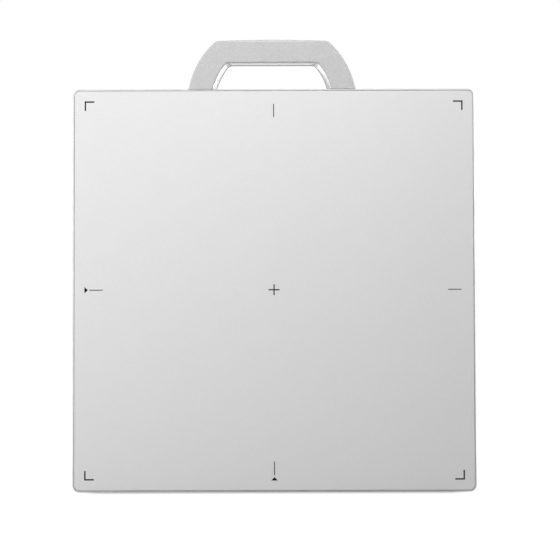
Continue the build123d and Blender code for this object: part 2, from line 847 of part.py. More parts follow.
cell_width = 82.0
cell_height = 92.0
cell_corner = 2.0
cell_spacing = 84.0
cell_z = battery_z - 7.5
cell_front_y = tub_floor_y + running_gap
cell_rear_y = battery_split_y - running_gap
with BuildPart() as battery_cells:
    with BuildSketch(facing_front(cell_rear_y)):
        with Locations((battery_x, cell_z)):
            with GridLocations(cell_spacing, 0, 2, 1):
                RectangleRounded(cell_width, cell_height, cell_corner)
    extrude(amount=cell_rear_y - cell_front_y)
write(battery_cells, "battery_cells")

battery_board_width = 60.0
battery_board_height = 10.0
battery_board_thickness = 0.8
battery_board_rear_y = recess_floor_y + battery_floor + battery_board_thickness
with BuildPart() as battery_board:
    with BuildSketch(facing_front(battery_board_rear_y)):
        with Locations((battery_x, contact_z)):
            Rectangle(battery_board_width, battery_board_height)
    extrude(amount=battery_board_thickness)
write(battery_board, "battery_board")

scoop_length = 46.0
scoop_width = 16.0
scoop_depth = 0.9
scoop_z = battery_z - battery_height / 2 + 16.0
grip_rib_length = 28.0
grip_rib_width = 1.2
grip_rib_height = 0.5
grip_rib_pitch = 3.0
with BuildPart() as battery_outer_case:
    with BuildSketch(facing_front(battery_rear_y)):
        with Locations((battery_x, battery_z)):
            RectangleRounded(battery_width, battery_height, battery_corner)
    extrude(amount=battery_rear_y - battery_split_y)
    fillet(battery_outer_case.faces().sort_by(Axis.Y)[-1].edges(), case_edge_round)
    with BuildSketch(facing_front(battery_rear_y)):
        with Locations((battery_x, scoop_z)):
            SlotOverall(scoop_length, scoop_width)
    extrude(amount=scoop_depth, mode=Mode.SUBTRACT)
    with BuildSketch(facing_front(battery_rear_y - scoop_depth + grip_rib_height)):
        with Locations((battery_x, scoop_z)):
            with GridLocations(0, grip_rib_pitch, 1, 3):
                SlotOverall(grip_rib_length, grip_rib_width)
    extrude(amount=grip_rib_height)
write(battery_outer_case, "battery_outer_case")

# Battery latches, drawn in their open position: a bolt under the cover and a knob over it
knob_front_y = cover_rear_y - knob_recess_depth + running_gap
knob_corner = 2.0
knob_chamfer = 0.25
knob_groove_pitch = 2.4
knob_groove_width = 0.8
knob_groove_length = 9.0
knob_groove_depth = 0.4
bolt_chamfer = 0.5
web_width = 6.0
web_height = 8.0
for side, hand in ((-1, "left"), (1, "right")):
    with BuildPart() as latch_bolt:
        with BuildSketch(facing_front(bolt_rear_y)):
            with Locations((side * (bolt_tip_x + bolt_length / 2), battery_z)):
                Rectangle(bolt_length, bolt_width)
        extrude(amount=bolt_rear_y - bolt_front_y)
        tip = latch_bolt.faces().sort_by(Axis.X)[0 if side > 0 else -1]
        chamfer(tip.edges().filter_by(Axis.Z), bolt_chamfer)
        with BuildSketch(facing_front(knob_front_y)):
            with Locations((side * latch_x, battery_z)):
                Rectangle(web_width, web_height)
        extrude(amount=knob_front_y - bolt_rear_y)
    write(latch_bolt, f"latch_bolt_{hand}")

    with BuildPart() as latch_knob:
        with BuildSketch(facing_front(knob_front_y + knob_thickness)):
            with Locations((side * latch_x, battery_z)):
                RectangleRounded(knob_width, knob_height, knob_corner)
        extrude(amount=knob_thickness)
        chamfer(latch_knob.faces().sort_by(Axis.Y)[-1].edges(), knob_chamfer)
        with BuildSketch(facing_front(knob_front_y + knob_thickness)):
            with Locations((side * latch_x, battery_z)):
                with GridLocations(knob_groove_pitch, 0, 4, 1):
                    Rectangle(knob_groove_width, knob_groove_length)
        extrude(amount=knob_groove_depth, mode=Mode.SUBTRACT)
    write(latch_knob, f"latch_knob_{hand}")

# Rear cover, opened for the battery, the latches, the antenna windows and the vent
cover_edge_round = 1.2
window_width = 64.0
window_height = 14.0
window_rounding = 3.0
window_gap = 0.05
vent_place = (-185.0, 75.0)
vent_radius = 4.0
vent_drop = 0.1
vent_hole_ring = 2.2
vent_hole_count = 6
vent_hole_radius = 0.4
vent_hole_depth = 0.8
foot_radius = 6.0
foot_chamfer = 0.3
foot_places = [(side * 214.0, centre_z + up * 216.0) for side in (-1, 1) for up in (-1, 1)]
foot_recess = 0.5
label_place = (0.0, 262.0)
label_width = 96.0
label_height = 54.0
label_corner = 3.0
label_thickness = 0.15
cover_thickness = cover_rear_y - cover_seat_y

with BuildPart() as rear_cover:
    with BuildSketch(facing_front(cover_rear_y)):
        square(body_width, corner_radius)
    extrude(amount=cover_thickness)
    fillet(rear_cover.faces().sort_by(Axis.Y)[-1].edges(), cover_edge_round)
    with BuildSketch(facing_front(cover_rear_y)):
        with Locations((battery_x, battery_z)):
            RectangleRounded(bay_width, bay_height, bay_corner)
        with Locations(*antenna_places):
            RectangleRounded(window_width, window_height, window_rounding)
        with Locations(vent_place):
            Circle(vent_radius)
        for side in (-1, 1):
            with Locations((side * (latch_x - latch_travel / 2), battery_z)):
                Rectangle(web_width + latch_travel + 2 * latch_gap, web_height + 2 * latch_gap)
    extrude(amount=cover_thickness, mode=Mode.SUBTRACT)
    with BuildSketch(facing_front(cover_rear_y)):
        for side in (-1, 1):
            with Locations((side * (latch_x - latch_travel / 2), battery_z)):
                RectangleRounded(knob_width + latch_travel + 2 * latch_gap,
                                 knob_height + 2 * latch_gap, knob_corner + latch_gap)
    extrude(amount=knob_recess_depth, mode=Mode.SUBTRACT)
    with BuildSketch(facing_front(cover_rear_y)):
        with Locations(*foot_places):
            Circle(foot_radius + thread_gap)
    extrude(amount=foot_recess, mode=Mode.SUBTRACT)
    with BuildSketch(facing_front(cover_rear_y)):
        with Locations(label_place):
            RectangleRounded(label_width + 2 * running_gap, label_height + 2 * running_gap,
                             label_corner + running_gap)
    extrude(amount=label_thickness + flush_drop, mode=Mode.SUBTRACT)
    with Locations(*[towards_rear(x, cover_rear_y, z) for x, z in boss_points]):
        CounterSinkHole(cover_screw_radius + running_gap, countersink_radius,
                        cover_thickness + cut_margin, countersink_angle)
write(rear_cover, "rear_cover")

with BuildPart() as rear_cover_screws:
    add_screws([towards_rear(x, cover_rear_y - flush_drop, z) for x, z in boss_points],
               cover_screw_radius, cover_screw_length, cover_head_radius,
               cover_head_radius - cover_screw_radius, countersunk=True)
write(rear_cover_screws, "rear_cover_screws")

with BuildPart() as rear_feet:
    with BuildSketch(facing_front(feet_rear_y)):
        with Locations(*foot_places):
            Circle(foot_radius)
    extrude(amount=feet_rear_y - cover_rear_y + foot_recess)
    chamfer(rear_feet.faces().group_by(Axis.Y)[-1].edges(), foot_chamfer)
write(rear_feet, "rear_feet")

with BuildPart() as rear_label:
    with BuildSketch(facing_front(cover_rear_y - flush_drop)):
        with Locations(label_place):
            RectangleRounded(label_width, label_height, label_corner)
    extrude(amount=label_thickness)
write(rear_label, "rear_label")

with BuildPart() as vent_plug:
    with BuildSketch(facing_front(cover_rear_y - vent_drop)):
        with Locations(vent_place):
            Circle(vent_radius - thread_gap)
    extrude(amount=cover_thickness - vent_drop)
    with BuildSketch(facing_front(cover_rear_y - vent_drop)):
        with Locations(vent_place):
            with PolarLocations(vent_hole_ring, vent_hole_count):
                Circle(vent_hole_radius)
    extrude(amount=vent_hole_depth, mode=Mode.SUBTRACT)
write(vent_plug, "vent_plug")

with BuildPart() as antenna_windows:
    with BuildSketch(facing_front(cover_rear_y - flush_drop)):
        with Locations(*antenna_places):
            RectangleRounded(window_width - 2 * window_gap, window_height - 2 * window_gap,
                             window_rounding - window_gap)
    extrude(amount=cover_thickness - flush_drop)
write(antenna_windows, "antenna_windows")


# Carrying handle: two half shells round a core that is screwed to the top wall
def arch(radius, arc_z, corner_z, crown, corner_round):
    # Region under an arch: two arcs about one centre, joined by a slightly crowned top
    def half_span(z):
        return sqrt(radius ** 2 - (z - arc_z) ** 2)

    middle_z = (handle_base_z + corner_z) / 2
    top = half_span(corner_z)
    base = half_span(handle_base_z)
    with BuildSketch() as region:
        with BuildLine():
            ThreePointArc((handle_x - base, handle_base_z), (handle_x - half_span(middle_z), middle_z),
                          (handle_x - top, corner_z))
            ThreePointArc((handle_x - top, corner_z), (handle_x, corner_z + crown),
                          (handle_x + top, corner_z))
            ThreePointArc((handle_x + top, corner_z), (handle_x + half_span(middle_z), middle_z),
                          (handle_x + base, handle_base_z))
            Line((handle_x + base, handle_base_z), (handle_x - base, handle_base_z))
        make_face()
        fillet(region.vertices().sort_by(Axis.Y)[-2:], corner_round)
    return region.sketch


def face_edges(face, outside):
    # The edges of a handle face round the finger opening, or those round its outside
    middle_x = (handle_inner_radius + handle_outer_radius) / 2
    middle_z = (handle_inner_top_z + handle_outer_corner_z) / 2
    chosen = []
    for edge in face.edges():
        x, z = edge.center().X - handle_x, edge.center().Z
        beyond = abs(x) > middle_x or z > middle_z
        if z > handle_base_z + running_gap and beyond == outside:
            chosen.append(edge)
    return chosen


outer_arch = arch(handle_outer_radius, handle_outer_arc_z, handle_outer_corner_z, handle_crown,
                  handle_outer_corner)
inner_arch = arch(handle_inner_radius, handle_inner_arc_z, handle_inner_top_z,
                  handle_inner_crown, handle_inner_corner)
bevel_arch = arch(handle_bevel_radius, handle_inner_arc_z, handle_bevel_top_z,
                  handle_inner_crown, handle_bevel_corner)
pocket_outer = arch(handle_pocket_outer, handle_outer_arc_z, handle_pocket_top_z, handle_crown,
                    handle_pocket_outer_corner)
pocket_inner = arch(handle_pocket_inner, handle_inner_arc_z, handle_pocket_bottom_z,
                    handle_inner_crown, handle_pocket_inner_corner)
core_outer = arch(handle_pocket_outer - core_gap, handle_outer_arc_z,
                  handle_pocket_top_z - core_gap, handle_crown,
                  handle_pocket_outer_corner - core_gap)
core_inner = arch(handle_pocket_inner + core_gap, handle_inner_arc_z,
                  handle_pocket_bottom_z + core_gap, handle_inner_crown,
                  handle_pocket_inner_corner + core_gap)

# Shell screws stand on the middle line of the core
leg_screw_z = body_height + 20.5
leg_screw_x = sqrt(((handle_pocket_outer + handle_pocket_inner) / 2) ** 2
                   - (leg_screw_z - (handle_outer_arc_z + handle_inner_arc_z) / 2) ** 2)
bar_screw_z = (handle_pocket_top_z + handle_pocket_bottom_z) / 2
bar_screw_pitch = 42.0
shell_screw_points = [(handle_x - bar_screw_pitch, bar_screw_z), (handle_x, bar_screw_z),
                      (handle_x + bar_screw_pitch, bar_screw_z),
                      (handle_x - leg_screw_x, leg_screw_z), (handle_x + leg_screw_x, leg_screw_z)]
shell_boss_radius = 3.0
shell_hole_depth = 5.5
core_rear_y = handle_seam_y + handle_pocket_depth

with BuildPart() as handle_front_shell:
    with BuildSketch(facing_front(handle_seam_y)):
        add(outer_arch)
        add(inner_arch, mode=Mode.SUBTRACT)
    extrude(amount=handle_seam_y - handle_front_y)
    with BuildSketch(facing_front(handle_front_y)):
        add(bevel_arch)
    with BuildSketch(facing_front(handle_front_y + handle_bevel_depth)):
        add(inner_arch)
    loft(ruled=True, mode=Mode.SUBTRACT)
    fillet(face_edges(handle_front_shell.faces().sort_by(Axis.Y)[0], False), handle_bevel_round)
    fillet(face_edges(handle_front_shell.faces().sort_by(Axis.Y)[0], True), handle_edge_round)
    with BuildSketch(facing_front(handle_seam_y)):
        add(pocket_outer)
        add(pocket_inner, mode=Mode.SUBTRACT)
    extrude(amount=handle_pocket_depth, mode=Mode.SUBTRACT)
    with BuildSketch(facing_front(core_rear_y)):
        with Locations(*shell_screw_points):
            Circle(shell_boss_radius)
    extrude(amount=2 * handle_pocket_depth)
    with BuildSketch(facing_front(core_rear_y)):
        with Locations(*shell_screw_points):
            Circle(cover_screw_radius + thread_gap)
    extrude(amount=shell_hole_depth, mode=Mode.SUBTRACT)
write(handle_front_shell, "handle_front_shell")

with BuildPart() as handle_rear_shell:
    with BuildSketch(facing_front(handle_rear_y)):
        add(outer_arch)
        add(inner_arch, mode=Mode.SUBTRACT)
    extrude(amount=handle_rear_y - handle_seam_y)
    chamfer(face_edges(handle_rear_shell.faces().sort_by(Axis.Y)[-1], False), handle_rear_bevel)
    fillet(face_edges(handle_rear_shell.faces().sort_by(Axis.Y)[-1], True), handle_edge_round)
    with BuildSketch(facing_front(core_rear_y)):
        add(pocket_outer)
        add(pocket_inner, mode=Mode.SUBTRACT)
    extrude(amount=handle_pocket_depth, mode=Mode.SUBTRACT)
    with Locations(*[towards_rear(x, handle_rear_y, z) for x, z in shell_screw_points]):
        CounterSinkHole(cover_screw_radius + running_gap, countersink_radius,
                        handle_pocket_depth, countersink_angle)
write(handle_rear_shell, "handle_rear_shell")

with BuildPart() as handle_core:
    with BuildSketch(facing_front(core_rear_y - core_depth_gap)):
        add(core_outer)
        add(core_inner, mode=Mode.SUBTRACT)
        with Locations(*shell_screw_points):
            Circle(shell_boss_radius + core_gap, mode=Mode.SUBTRACT)
    extrude(amount=2 * (handle_pocket_depth - core_depth_gap))
    with BuildSketch(Plane.XY.offset(handle_base_z)):
        for side in (-1, 1):
            for x in handle_screw_x:
                with Locations((handle_x + side * x, handle_seam_y)):
                    Circle(handle_screw_radius + thread_gap)
    extrude(amount=core_hole_depth, mode=Mode.SUBTRACT)
write(handle_core, "handle_core")

with BuildPart() as handle_shell_screws:
    add_screws([towards_rear(x, handle_rear_y - flush_drop, z) for x, z in shell_screw_points],
               cover_screw_radius, cover_screw_length, cover_head_radius,
               cover_head_radius - cover_screw_radius, countersunk=True)
write(handle_shell_screws, "handle_shell_screws")

handle_gasket_x = 80.3
handle_gasket_width = 31.4
handle_gasket_depth = 11.4
handle_gasket_corner = 2.0
with BuildPart() as handle_gaskets:
    with BuildSketch(Plane.XY.offset(body_height)):
        for side in (-1, 1):
            with Locations((handle_x + side * handle_gasket_x, handle_seam_y)):
                RectangleRounded(handle_gasket_width, handle_gasket_depth, handle_gasket_corner)
            for x in handle_screw_x:
                with Locations((handle_x + side * x, handle_seam_y)):
                    Circle(handle_screw_radius + running_gap, mode=Mode.SUBTRACT)
    extrude(amount=handle_base_z - body_height)
write(handle_gaskets, "handle_gaskets")

handle_screw_z = body_height - handle_pad_inset - handle_head_height
handle_screw_places = [towards_floor(handle_x + side * x, handle_seam_y, handle_screw_z)
                       for side in (-1, 1) for x in handle_screw_x]
with BuildPart() as handle_screws:
    add_screws(handle_screw_places, handle_screw_radius, handle_screw_length,
               handle_head_radius, handle_head_height)
write(handle_screws, "handle_screws")

# Controls on the top edge
flange_top_z = 456.2
flange_thickness = 1.0
flange_overhang = 0.8
seal_gap = 0.3
seal_overlap = 0.7
stem_bottom_z = 453.5
stem_radius = 1.0
lens_base_gap = 0.8
wall_inner_z = body_height - wall

with BuildPart() as power_button:
    with BuildSketch(Plane.XY.offset(flange_top_z - flange_thickness)):
        with Locations((power_x, control_y)):
            SlotOverall(power_length, button_width)
    extrude(amount=button_top_z - flange_top_z + flange_thickness)
    chamfer(power_button.faces().sort_by(Axis.Z)[-1].edges(), button_chamfer)
    with BuildSketch(Plane.XY.offset(flange_top_z - flange_thickness)):
        with Locations((power_x, control_y)):
            SlotOverall(power_length + 2 * flange_overhang, button_width + 2 * flange_overhang)
    extrude(amount=flange_thickness)
    with BuildSketch(Plane.XY.offset(stem_bottom_z)):
        with Locations((power_x, control_y)):
            Circle(stem_radius)
    extrude(amount=flange_top_z - stem_bottom_z)
write(power_button, "power_button")

with BuildPart() as mode_button:
    with BuildSketch(Plane.XY.offset(flange_top_z - flange_thickness)):
        with Locations((mode_x, control_y)):
            Circle(button_width / 2)
    extrude(amount=button_top_z - flange_top_z + flange_thickness)
    chamfer(mode_button.faces().sort_by(Axis.Z)[-1].edges(), button_chamfer)
    with BuildSketch(Plane.XY.offset(flange_top_z - flange_thickness)):
        with Locations((mode_x, control_y)):
            Circle(button_width / 2 + flange_overhang)
    extrude(amount=flange_thickness)
    with BuildSketch(Plane.XY.offset(stem_bottom_z)):
        with Locations((mode_x, control_y)):
            Circle(stem_radius)
    extrude(amount=flange_top_z - stem_bottom_z)
write(mode_button, "mode_button")

with BuildPart() as button_seals:
    with BuildSketch(Plane.XY.offset(flange_top_z)):
        with Locations((power_x, control_y)):
            SlotOverall(power_length + 2 * seal_overlap, button_width + 2 * seal_overlap)
            SlotOverall(power_length + 2 * seal_gap, button_width + 2 * seal_gap,
                        mode=Mode.SUBTRACT)
        with Locations((mode_x, control_y)):
            Circle(button_width / 2 + seal_overlap)
            Circle(button_width / 2 + seal_gap, mode=Mode.SUBTRACT)
    extrude(amount=wall_inner_z - flange_top_z)
write(button_seals, "button_seals")

lens_base_z = button_board_z + button_board_thickness + lens_base_gap
with BuildPart() as status_lenses:
    with BuildSketch(Plane.XY.offset(lens_base_z)):
        for x in lens_x:
            with Locations((x, control_y)):
                SlotOverall(lens_length, lens_width)
    extrude(amount=body_height - flush_drop - lens_base_z)
write(status_lenses, "status_lenses")

with BuildPart() as button_board:
    with BuildSketch(Plane.XY.offset(button_board_z)):
        with Locations((button_board_x, button_board_y)):
            Rectangle(button_board_length, button_board_width)
        with Locations(*control_posts):
            Circle(control_screw_radius + running_gap, mode=Mode.SUBTRACT)
    extrude(amount=button_board_thickness)
write(button_board, "button_board")

# Dock port: connector and contacts, and the cover on its pin
connector_face_x = half_width - 1.7
connector_back_x = half_width - port_pad_inset
connector_flange_thickness = 1.5
connector_flange_width = connector_width + 2.0
connector_flange_length = connector_length + 4.0
dock_contact_radius = 0.8
dock_contact_depth = 2.0
contact_places = [(connector_y, port_z + 3.0 * (i - 3.5)) for i in range(8)]
with BuildPart() as dock_connector:
    with BuildSketch(Plane.YZ.offset(connector_back_x)):
        with Locations((connector_y, port_z)):
            Rectangle(connector_width, connector_length)
    extrude(amount=connector_face_x - connector_back_x)
    with BuildSketch(Plane.YZ.offset(connector_back_x - connector_flange_thickness)):
        with Locations((connector_y, port_z)):
            Rectangle(connector_flange_width, connector_flange_length)
    extrude(amount=connector_flange_thickness)
    with BuildSketch(Plane.YZ.offset(connector_face_x)):
        with Locations(*contact_places):
            Circle(dock_contact_radius + thread_gap)
    extrude(amount=-dock_contact_depth, mode=Mode.SUBTRACT)
write(dock_connector, "dock_connector")

with BuildPart() as dock_contacts:
    with BuildSketch(Plane.YZ.offset(connector_face_x - dock_contact_depth)):
        with Locations(*contact_places):
            Circle(dock_contact_radius)
    extrude(amount=dock_contact_depth - running_gap)
write(dock_contacts, "dock_contacts")

port_cover_length = port_recess_length - 2 * port_gap
port_cover_bottom_z = port_z - port_cover_length / 2
port_cover_thickness = 1.3
hinge_x = half_width - hinge_inset
cover_outer_x = half_width - 0.15
cover_inner_x = cover_outer_x - port_cover_thickness
cover_edge_y = port_recess_front_y + port_gap
pull_inset = 1.4
pull_length = 10.0
pull_width = 1.2
pull_depth = 0.5
with BuildPart() as port_cover:
    with BuildSketch(Plane.XY.offset(port_cover_bottom_z)):
        with Locations((hinge_x, hinge_y)):
            Circle(barrel_radius)
        with Locations(((cover_outer_x + cover_inner_x) / 2, (hinge_y + cover_edge_y) / 2)):
            Rectangle(cover_outer_x - cover_inner_x, hinge_y - cover_edge_y)
        with Locations((hinge_x, hinge_y)):
            Circle(hinge_pin_radius + running_gap, mode=Mode.SUBTRACT)
    extrude(amount=port_cover_length)
    with BuildSketch(Plane.YZ.offset(cover_outer_x)):
        with Locations((cover_edge_y + pull_inset, port_z)):
            SlotOverall(pull_length, pull_width, rotation=90)
    extrude(amount=-pull_depth, mode=Mode.SUBTRACT)
write(port_cover, "port_cover")

with BuildPart() as port_cover_pin:
    with BuildSketch(Plane.XY.offset(port_z - port_recess_length / 2 - hinge_pin_overrun)):
        with Locations((hinge_x, hinge_y)):
            Circle(hinge_pin_radius)
    extrude(amount=port_recess_length + 2 * hinge_pin_overrun)
write(port_cover_pin, "port_cover_pin")
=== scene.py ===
import math
import bmesh
import bpy
from mathutils import Matrix, Vector


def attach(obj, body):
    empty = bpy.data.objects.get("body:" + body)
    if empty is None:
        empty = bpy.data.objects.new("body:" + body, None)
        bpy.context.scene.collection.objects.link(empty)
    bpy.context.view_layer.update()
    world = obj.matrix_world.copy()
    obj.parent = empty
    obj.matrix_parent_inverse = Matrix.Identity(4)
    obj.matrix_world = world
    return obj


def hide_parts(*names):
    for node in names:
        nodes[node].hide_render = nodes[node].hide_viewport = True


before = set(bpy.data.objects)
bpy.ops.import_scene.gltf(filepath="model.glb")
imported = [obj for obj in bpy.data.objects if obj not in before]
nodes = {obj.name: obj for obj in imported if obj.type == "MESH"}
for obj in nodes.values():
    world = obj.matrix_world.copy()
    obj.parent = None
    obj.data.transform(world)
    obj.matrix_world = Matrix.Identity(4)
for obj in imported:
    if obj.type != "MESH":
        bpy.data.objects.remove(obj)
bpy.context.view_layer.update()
scene = bpy.context.scene
scene.view_settings.view_transform = "Standard"
print("frame loaded:", len(nodes), "nodes")


# Camera, standing where the photograph was taken from
cameraSetup = {
    "place": (0.0082, -1.6, 0.1941),
    "yaw": math.radians(-0.05),
    "pitch": math.radians(1.69),
    "roll": math.radians(-0.15),
    "lens": 89.7,
    "sensorWidth": 36.0,
    "clipStart": 0.05,
    "clipEnd": 60.0,
}


def makeCamera(setup):
    data = bpy.data.cameras.new("camera")
    data.lens = setup["lens"]
    data.sensor_width = setup["sensorWidth"]
    data.clip_start = setup["clipStart"]
    data.clip_end = setup["clipEnd"]
    camera = bpy.data.objects.new("camera", data)
    scene.collection.objects.link(camera)
    turn = (Matrix.Rotation(-setup["yaw"], 4, "Z")
            @ Matrix.Rotation(math.radians(90) + setup["pitch"], 4, "X")
            @ Matrix.Rotation(setup["roll"], 4, "Z"))
    camera.matrix_world = Matrix.Translation(setup["place"]) @ turn
    scene.camera = camera


makeCamera(cameraSetup)
print("camera placed")


class Wire:
    # An output socket of a material; sums and products of wires and numbers add Math nodes
    def __init__(self, finish, socket):
        self.finish = finish
        self.socket = socket

    def maths(self, operation, first, second):
        return self.finish.node("ShaderNodeMath", {"operation": operation}, {0: first, 1: second})

    def __add__(self, other):
        return self.maths("ADD", self, other)

    def __radd__(self, other):
        return self.maths("ADD", other, self)

    def __sub__(self, other):
        return self.maths("SUBTRACT", self, other)

    def __rsub__(self, other):
        return self.maths("SUBTRACT", other, self)

    def __mul__(self, other):
        return self.maths("MULTIPLY", self, other)

    def __rmul__(self, other):
        return self.maths("MULTIPLY", other, self)

    def __pow__(self, other):
        return self.maths("POWER", self, other)

    def __gt__(self, other):
        return self.maths("GREATER_THAN", self, other)

    def __lt__(self, other):
        return self.maths("LESS_THAN", self, other)

    def atLeast(self, other):
        return self.maths("MAXIMUM", self, other)

    def size(self):
        return self.finish.node("ShaderNodeMath", {"operation": "ABSOLUTE"}, {0: self})


class Finish:
    # A material or world being put together; node() adds any node, surface() or close() ends it
    def __init__(self, holder):
        self.holder = holder
        holder.use_nodes = True
        self.tree = holder.node_tree
        self.tree.nodes.clear()
        self.place = self.node("ShaderNodeTexCoord", output="Object")

    def node(self, kind, settings=None, inputs=None, output=0):
        made = self.tree.nodes.new(kind)
        for key, value in (settings or {}).items():
            setattr(made, key, value)
        for key, value in (inputs or {}).items():
            if isinstance(value, Wire):
                self.tree.links.new(value.socket, made.inputs[key])
            else:
                made.inputs[key].default_value = value
        return Wire(self, made.outputs[output])

    def axes(self):
        # x, y and z of the place, in metres
        split = self.node("ShaderNodeSeparateXYZ", None, {0: self.place}, "X")
        outputs = split.socket.node.outputs
        return [Wire(self, outputs[name]) for name in ("X", "Y", "Z")]

    def noise(self, perMetre, detail, stretch=(1, 1, 1)):
        # Noise from 0 to 1 with so many lumps to the metre; a small stretch draws them out
        at = self.node("ShaderNodeVectorMath", {"operation": "MULTIPLY"},
                       {0: self.place, 1: stretch})
        return self.node("ShaderNodeTexNoise", None,
                         {"Vector": at, "Scale": perMetre, "Detail": detail, "Roughness": 0.6})

    def fade(self, value, low, high, start=0.0, end=1.0):
        # start below low, end above high, and a smooth change between them
        return self.node("ShaderNodeMapRange", {"interpolation_type": "SMOOTHSTEP"},
                         {"Value": value, "From Min": low, "From Max": high,
                          "To Min": start, "To Max": end})

    def mix(self, share, first, second):
        # Colour between first and second
        tones = [tone if isinstance(tone, Wire) else (*tone, 1.0) for tone in (first, second)]
        return self.node("ShaderNodeMix", {"data_type": "RGBA"},
                         {0: share, 6: tones[0], 7: tones[1]}, 2)

    def bump(self, height, distance):
        return self.node("ShaderNodeBump", None, {"Height": height, "Distance": distance},
                         "Normal")

    def close(self, shader, kind="ShaderNodeOutputMaterial"):
        output = self.tree.nodes.new(kind)
        self.tree.links.new(shader.socket, output.inputs[0])
        return self.holder

    def surface(self, **sockets):
        names = {"baseColor": "Base Color", "roughness": "Roughness", "metallic": "Metallic",
                 "normal": "Normal", "specular": "Specular IOR Level"}
        inputs = {}
        for key, value in sockets.items():
            inputs[names[key]] = (*value, 1.0) if isinstance(value, tuple) else value
        return self.close(self.node("ShaderNodeBsdfPrincipled", None, inputs))


def newFinish(name):
    return Finish(bpy.data.materials.new(name))


def dress(material, *names):
    # Gives CAD nodes a material in every slot
    for name in names:
        data = nodes[name].data
        if not data.materials:
            data.materials.append(material)
        for index in range(len(data.materials)):
            data.materials[index] = material


# Entrance plate: satin silver coat, faintly clouded, with a fine grain
plateLook = {
    "light": (0.69, 0.69, 0.69),
    "dark": (0.676, 0.676, 0.676),
    "cloudsPerMetre": 26,
    "grainPerMetre": 820,
    "grainFade": (0.3, 0.7),
    "grain": 0.018,
    "grainDepth": 0.00003,
    "roughness": 0.48,
    "roughnessSpread": 0.10,
}


def plateFinish(look):
    finish = newFinish("plateCoat")
    clouds = finish.noise(look["cloudsPerMetre"], 3)
    grain = finish.noise(look["grainPerMetre"], 1)
    tone = finish.mix(clouds, look["dark"], look["light"])
    speck = finish.fade(grain, *look["grainFade"], 1 - look["grain"], 1 + look["grain"])
    tone = finish.node("ShaderNodeVectorMath", {"operation": "SCALE"}, {0: tone, "Scale": speck})
    return finish.surface(baseColor=tone, metallic=0.0,
                          roughness=look["roughness"] + look["roughnessSpread"] * (clouds - 0.5),
                          normal=finish.bump(grain, look["grainDepth"]))


dress(plateFinish(plateLook), "front_plate")


# Marks: flat black ink, a little greyed where it has been wiped
inkLook = {
    "fresh": (0.003, 0.003, 0.003),
    "wiped": (0.008, 0.008, 0.008),
    "wipesPerMetre": 160,
    "wipeFade": (0.45, 0.75),
    "roughness": 0.75,
    "wipedRoughness": 0.15,
    "specular": 0.1,
}


def inkFinish(look):
    finish = newFinish("markInk")
    wiped = finish.fade(finish.noise(look["wipesPerMetre"], 3), *look["wipeFade"])
    return finish.surface(baseColor=finish.mix(wiped, look["fresh"], look["wiped"]),
                          roughness=look["roughness"] + look["wipedRoughness"] * wiped,
                          specular=look["specular"])


dress(inkFinish(inkLook), "alignment_marks")
print("front finished")


# Frame: anodised aluminium, brushed along each edge, worn brighter on the front rim
frameLook = {
    "base": (0.60, 0.603, 0.61),
    "streak": (0.52, 0.523, 0.53),
    "worn": (0.68, 0.68, 0.685),
    "streaksPerMetre": 900,
    "streakStretch": 0.012,
    "streakFade": (0.35, 0.65),
    "streakDepth": 0.00002,
    "wearPerMetre": 60,
    "wearFade": (0.5, 0.72),
    "wearShare": 0.5,
    "roughness": 0.48,
    "streakRoughness": 0.12,
    "wearSmoothness": 0.1,
    "metallic": 0.4,
    "middleZ": 0.23,
    "rimFade": (-0.0073, -0.0065),
}


def frameFinish(look):
    finish = newFinish("frameAnodised")
    x, y, z = finish.axes()
    onSides = (x.size() - (z - look["middleZ"]).size()) > 0
    along = finish.noise(look["streaksPerMetre"], 2, (look["streakStretch"], 1, 1))
    upright = finish.noise(look["streaksPerMetre"], 2, (1, 1, look["streakStretch"]))
    brushed = along + (upright - along) * onSides
    streaks = finish.fade(brushed, *look["streakFade"])
    rim = finish.fade(y, *look["rimFade"], 1, 0)
    wear = rim * finish.fade(finish.noise(look["wearPerMetre"], 4), *look["wearFade"])
    tone = finish.mix(streaks, look["base"], look["streak"])
    tone = finish.mix(wear * look["wearShare"], tone, look["worn"])
    rough = look["roughness"] + look["streakRoughness"] * streaks - look["wearSmoothness"] * wear
    return finish.surface(baseColor=tone, metallic=look["metallic"], roughness=rough,
                          normal=finish.bump(brushed, look["streakDepth"]))


dress(frameFinish(frameLook), "side_frame")


# Handle: sand-blasted aluminium, burnished on its outer edge in a lighter tone that is partly
# painted sheen, the bevel of its opening polished and a little duller along the top bar as painted
# shade, and painted shade on the wall behind the bevel on the legs
handleLook = {
    "base": (0.485, 0.485, 0.485),
    "grainDark": (0.39, 0.39, 0.39),
    # Lighter tone of the outer edge band: real burnish, and partly a painted sheen of light on the
    # rounded edge
    "burnishedSheen": (0.50, 0.50, 0.50),
    "polished": (0.95, 0.95, 0.95),
    "grainPerMetre": 1150,
    "grainFade": (0.3, 0.7),
    "grainDepth": 0.00005,
    "blotchesPerMetre": 45,
    "blotchRoughness": 0.08,
    "roughness": 0.66,
    "burnishSmoothness": 0.12,
    "polishedRoughness": 0.14,
    "metallic": 0.35,
    "middleX": -0.0018,
    "bevelArcZ": 0.445,
    "bevelRadius": 0.0654,
    "bevelTop": 0.4885,
    "bevelReach": 0.0065,
    "polishFrom": -0.0053,
    "polishTo": -0.0015,
    "polishFade": (0.4815, 0.4885),
    # Share of polish kept along the top bar: the bevel there is painted a little duller than on the
    # legs, as painted shade
    "shadedPolishAbove": 0.90,
    # Painted shade on the wall behind the bevel, on the legs only
    "wallShadeTone": (0.28, 0.28, 0.28),
    "wallShadeReach": (0.0004, 0.0012),
    "outerArcZ": 0.4423,
    "outerRadius": 0.0979,
    "outerTop": 0.5168,
    "burnishFade": (-0.0024, -0.00048),
}


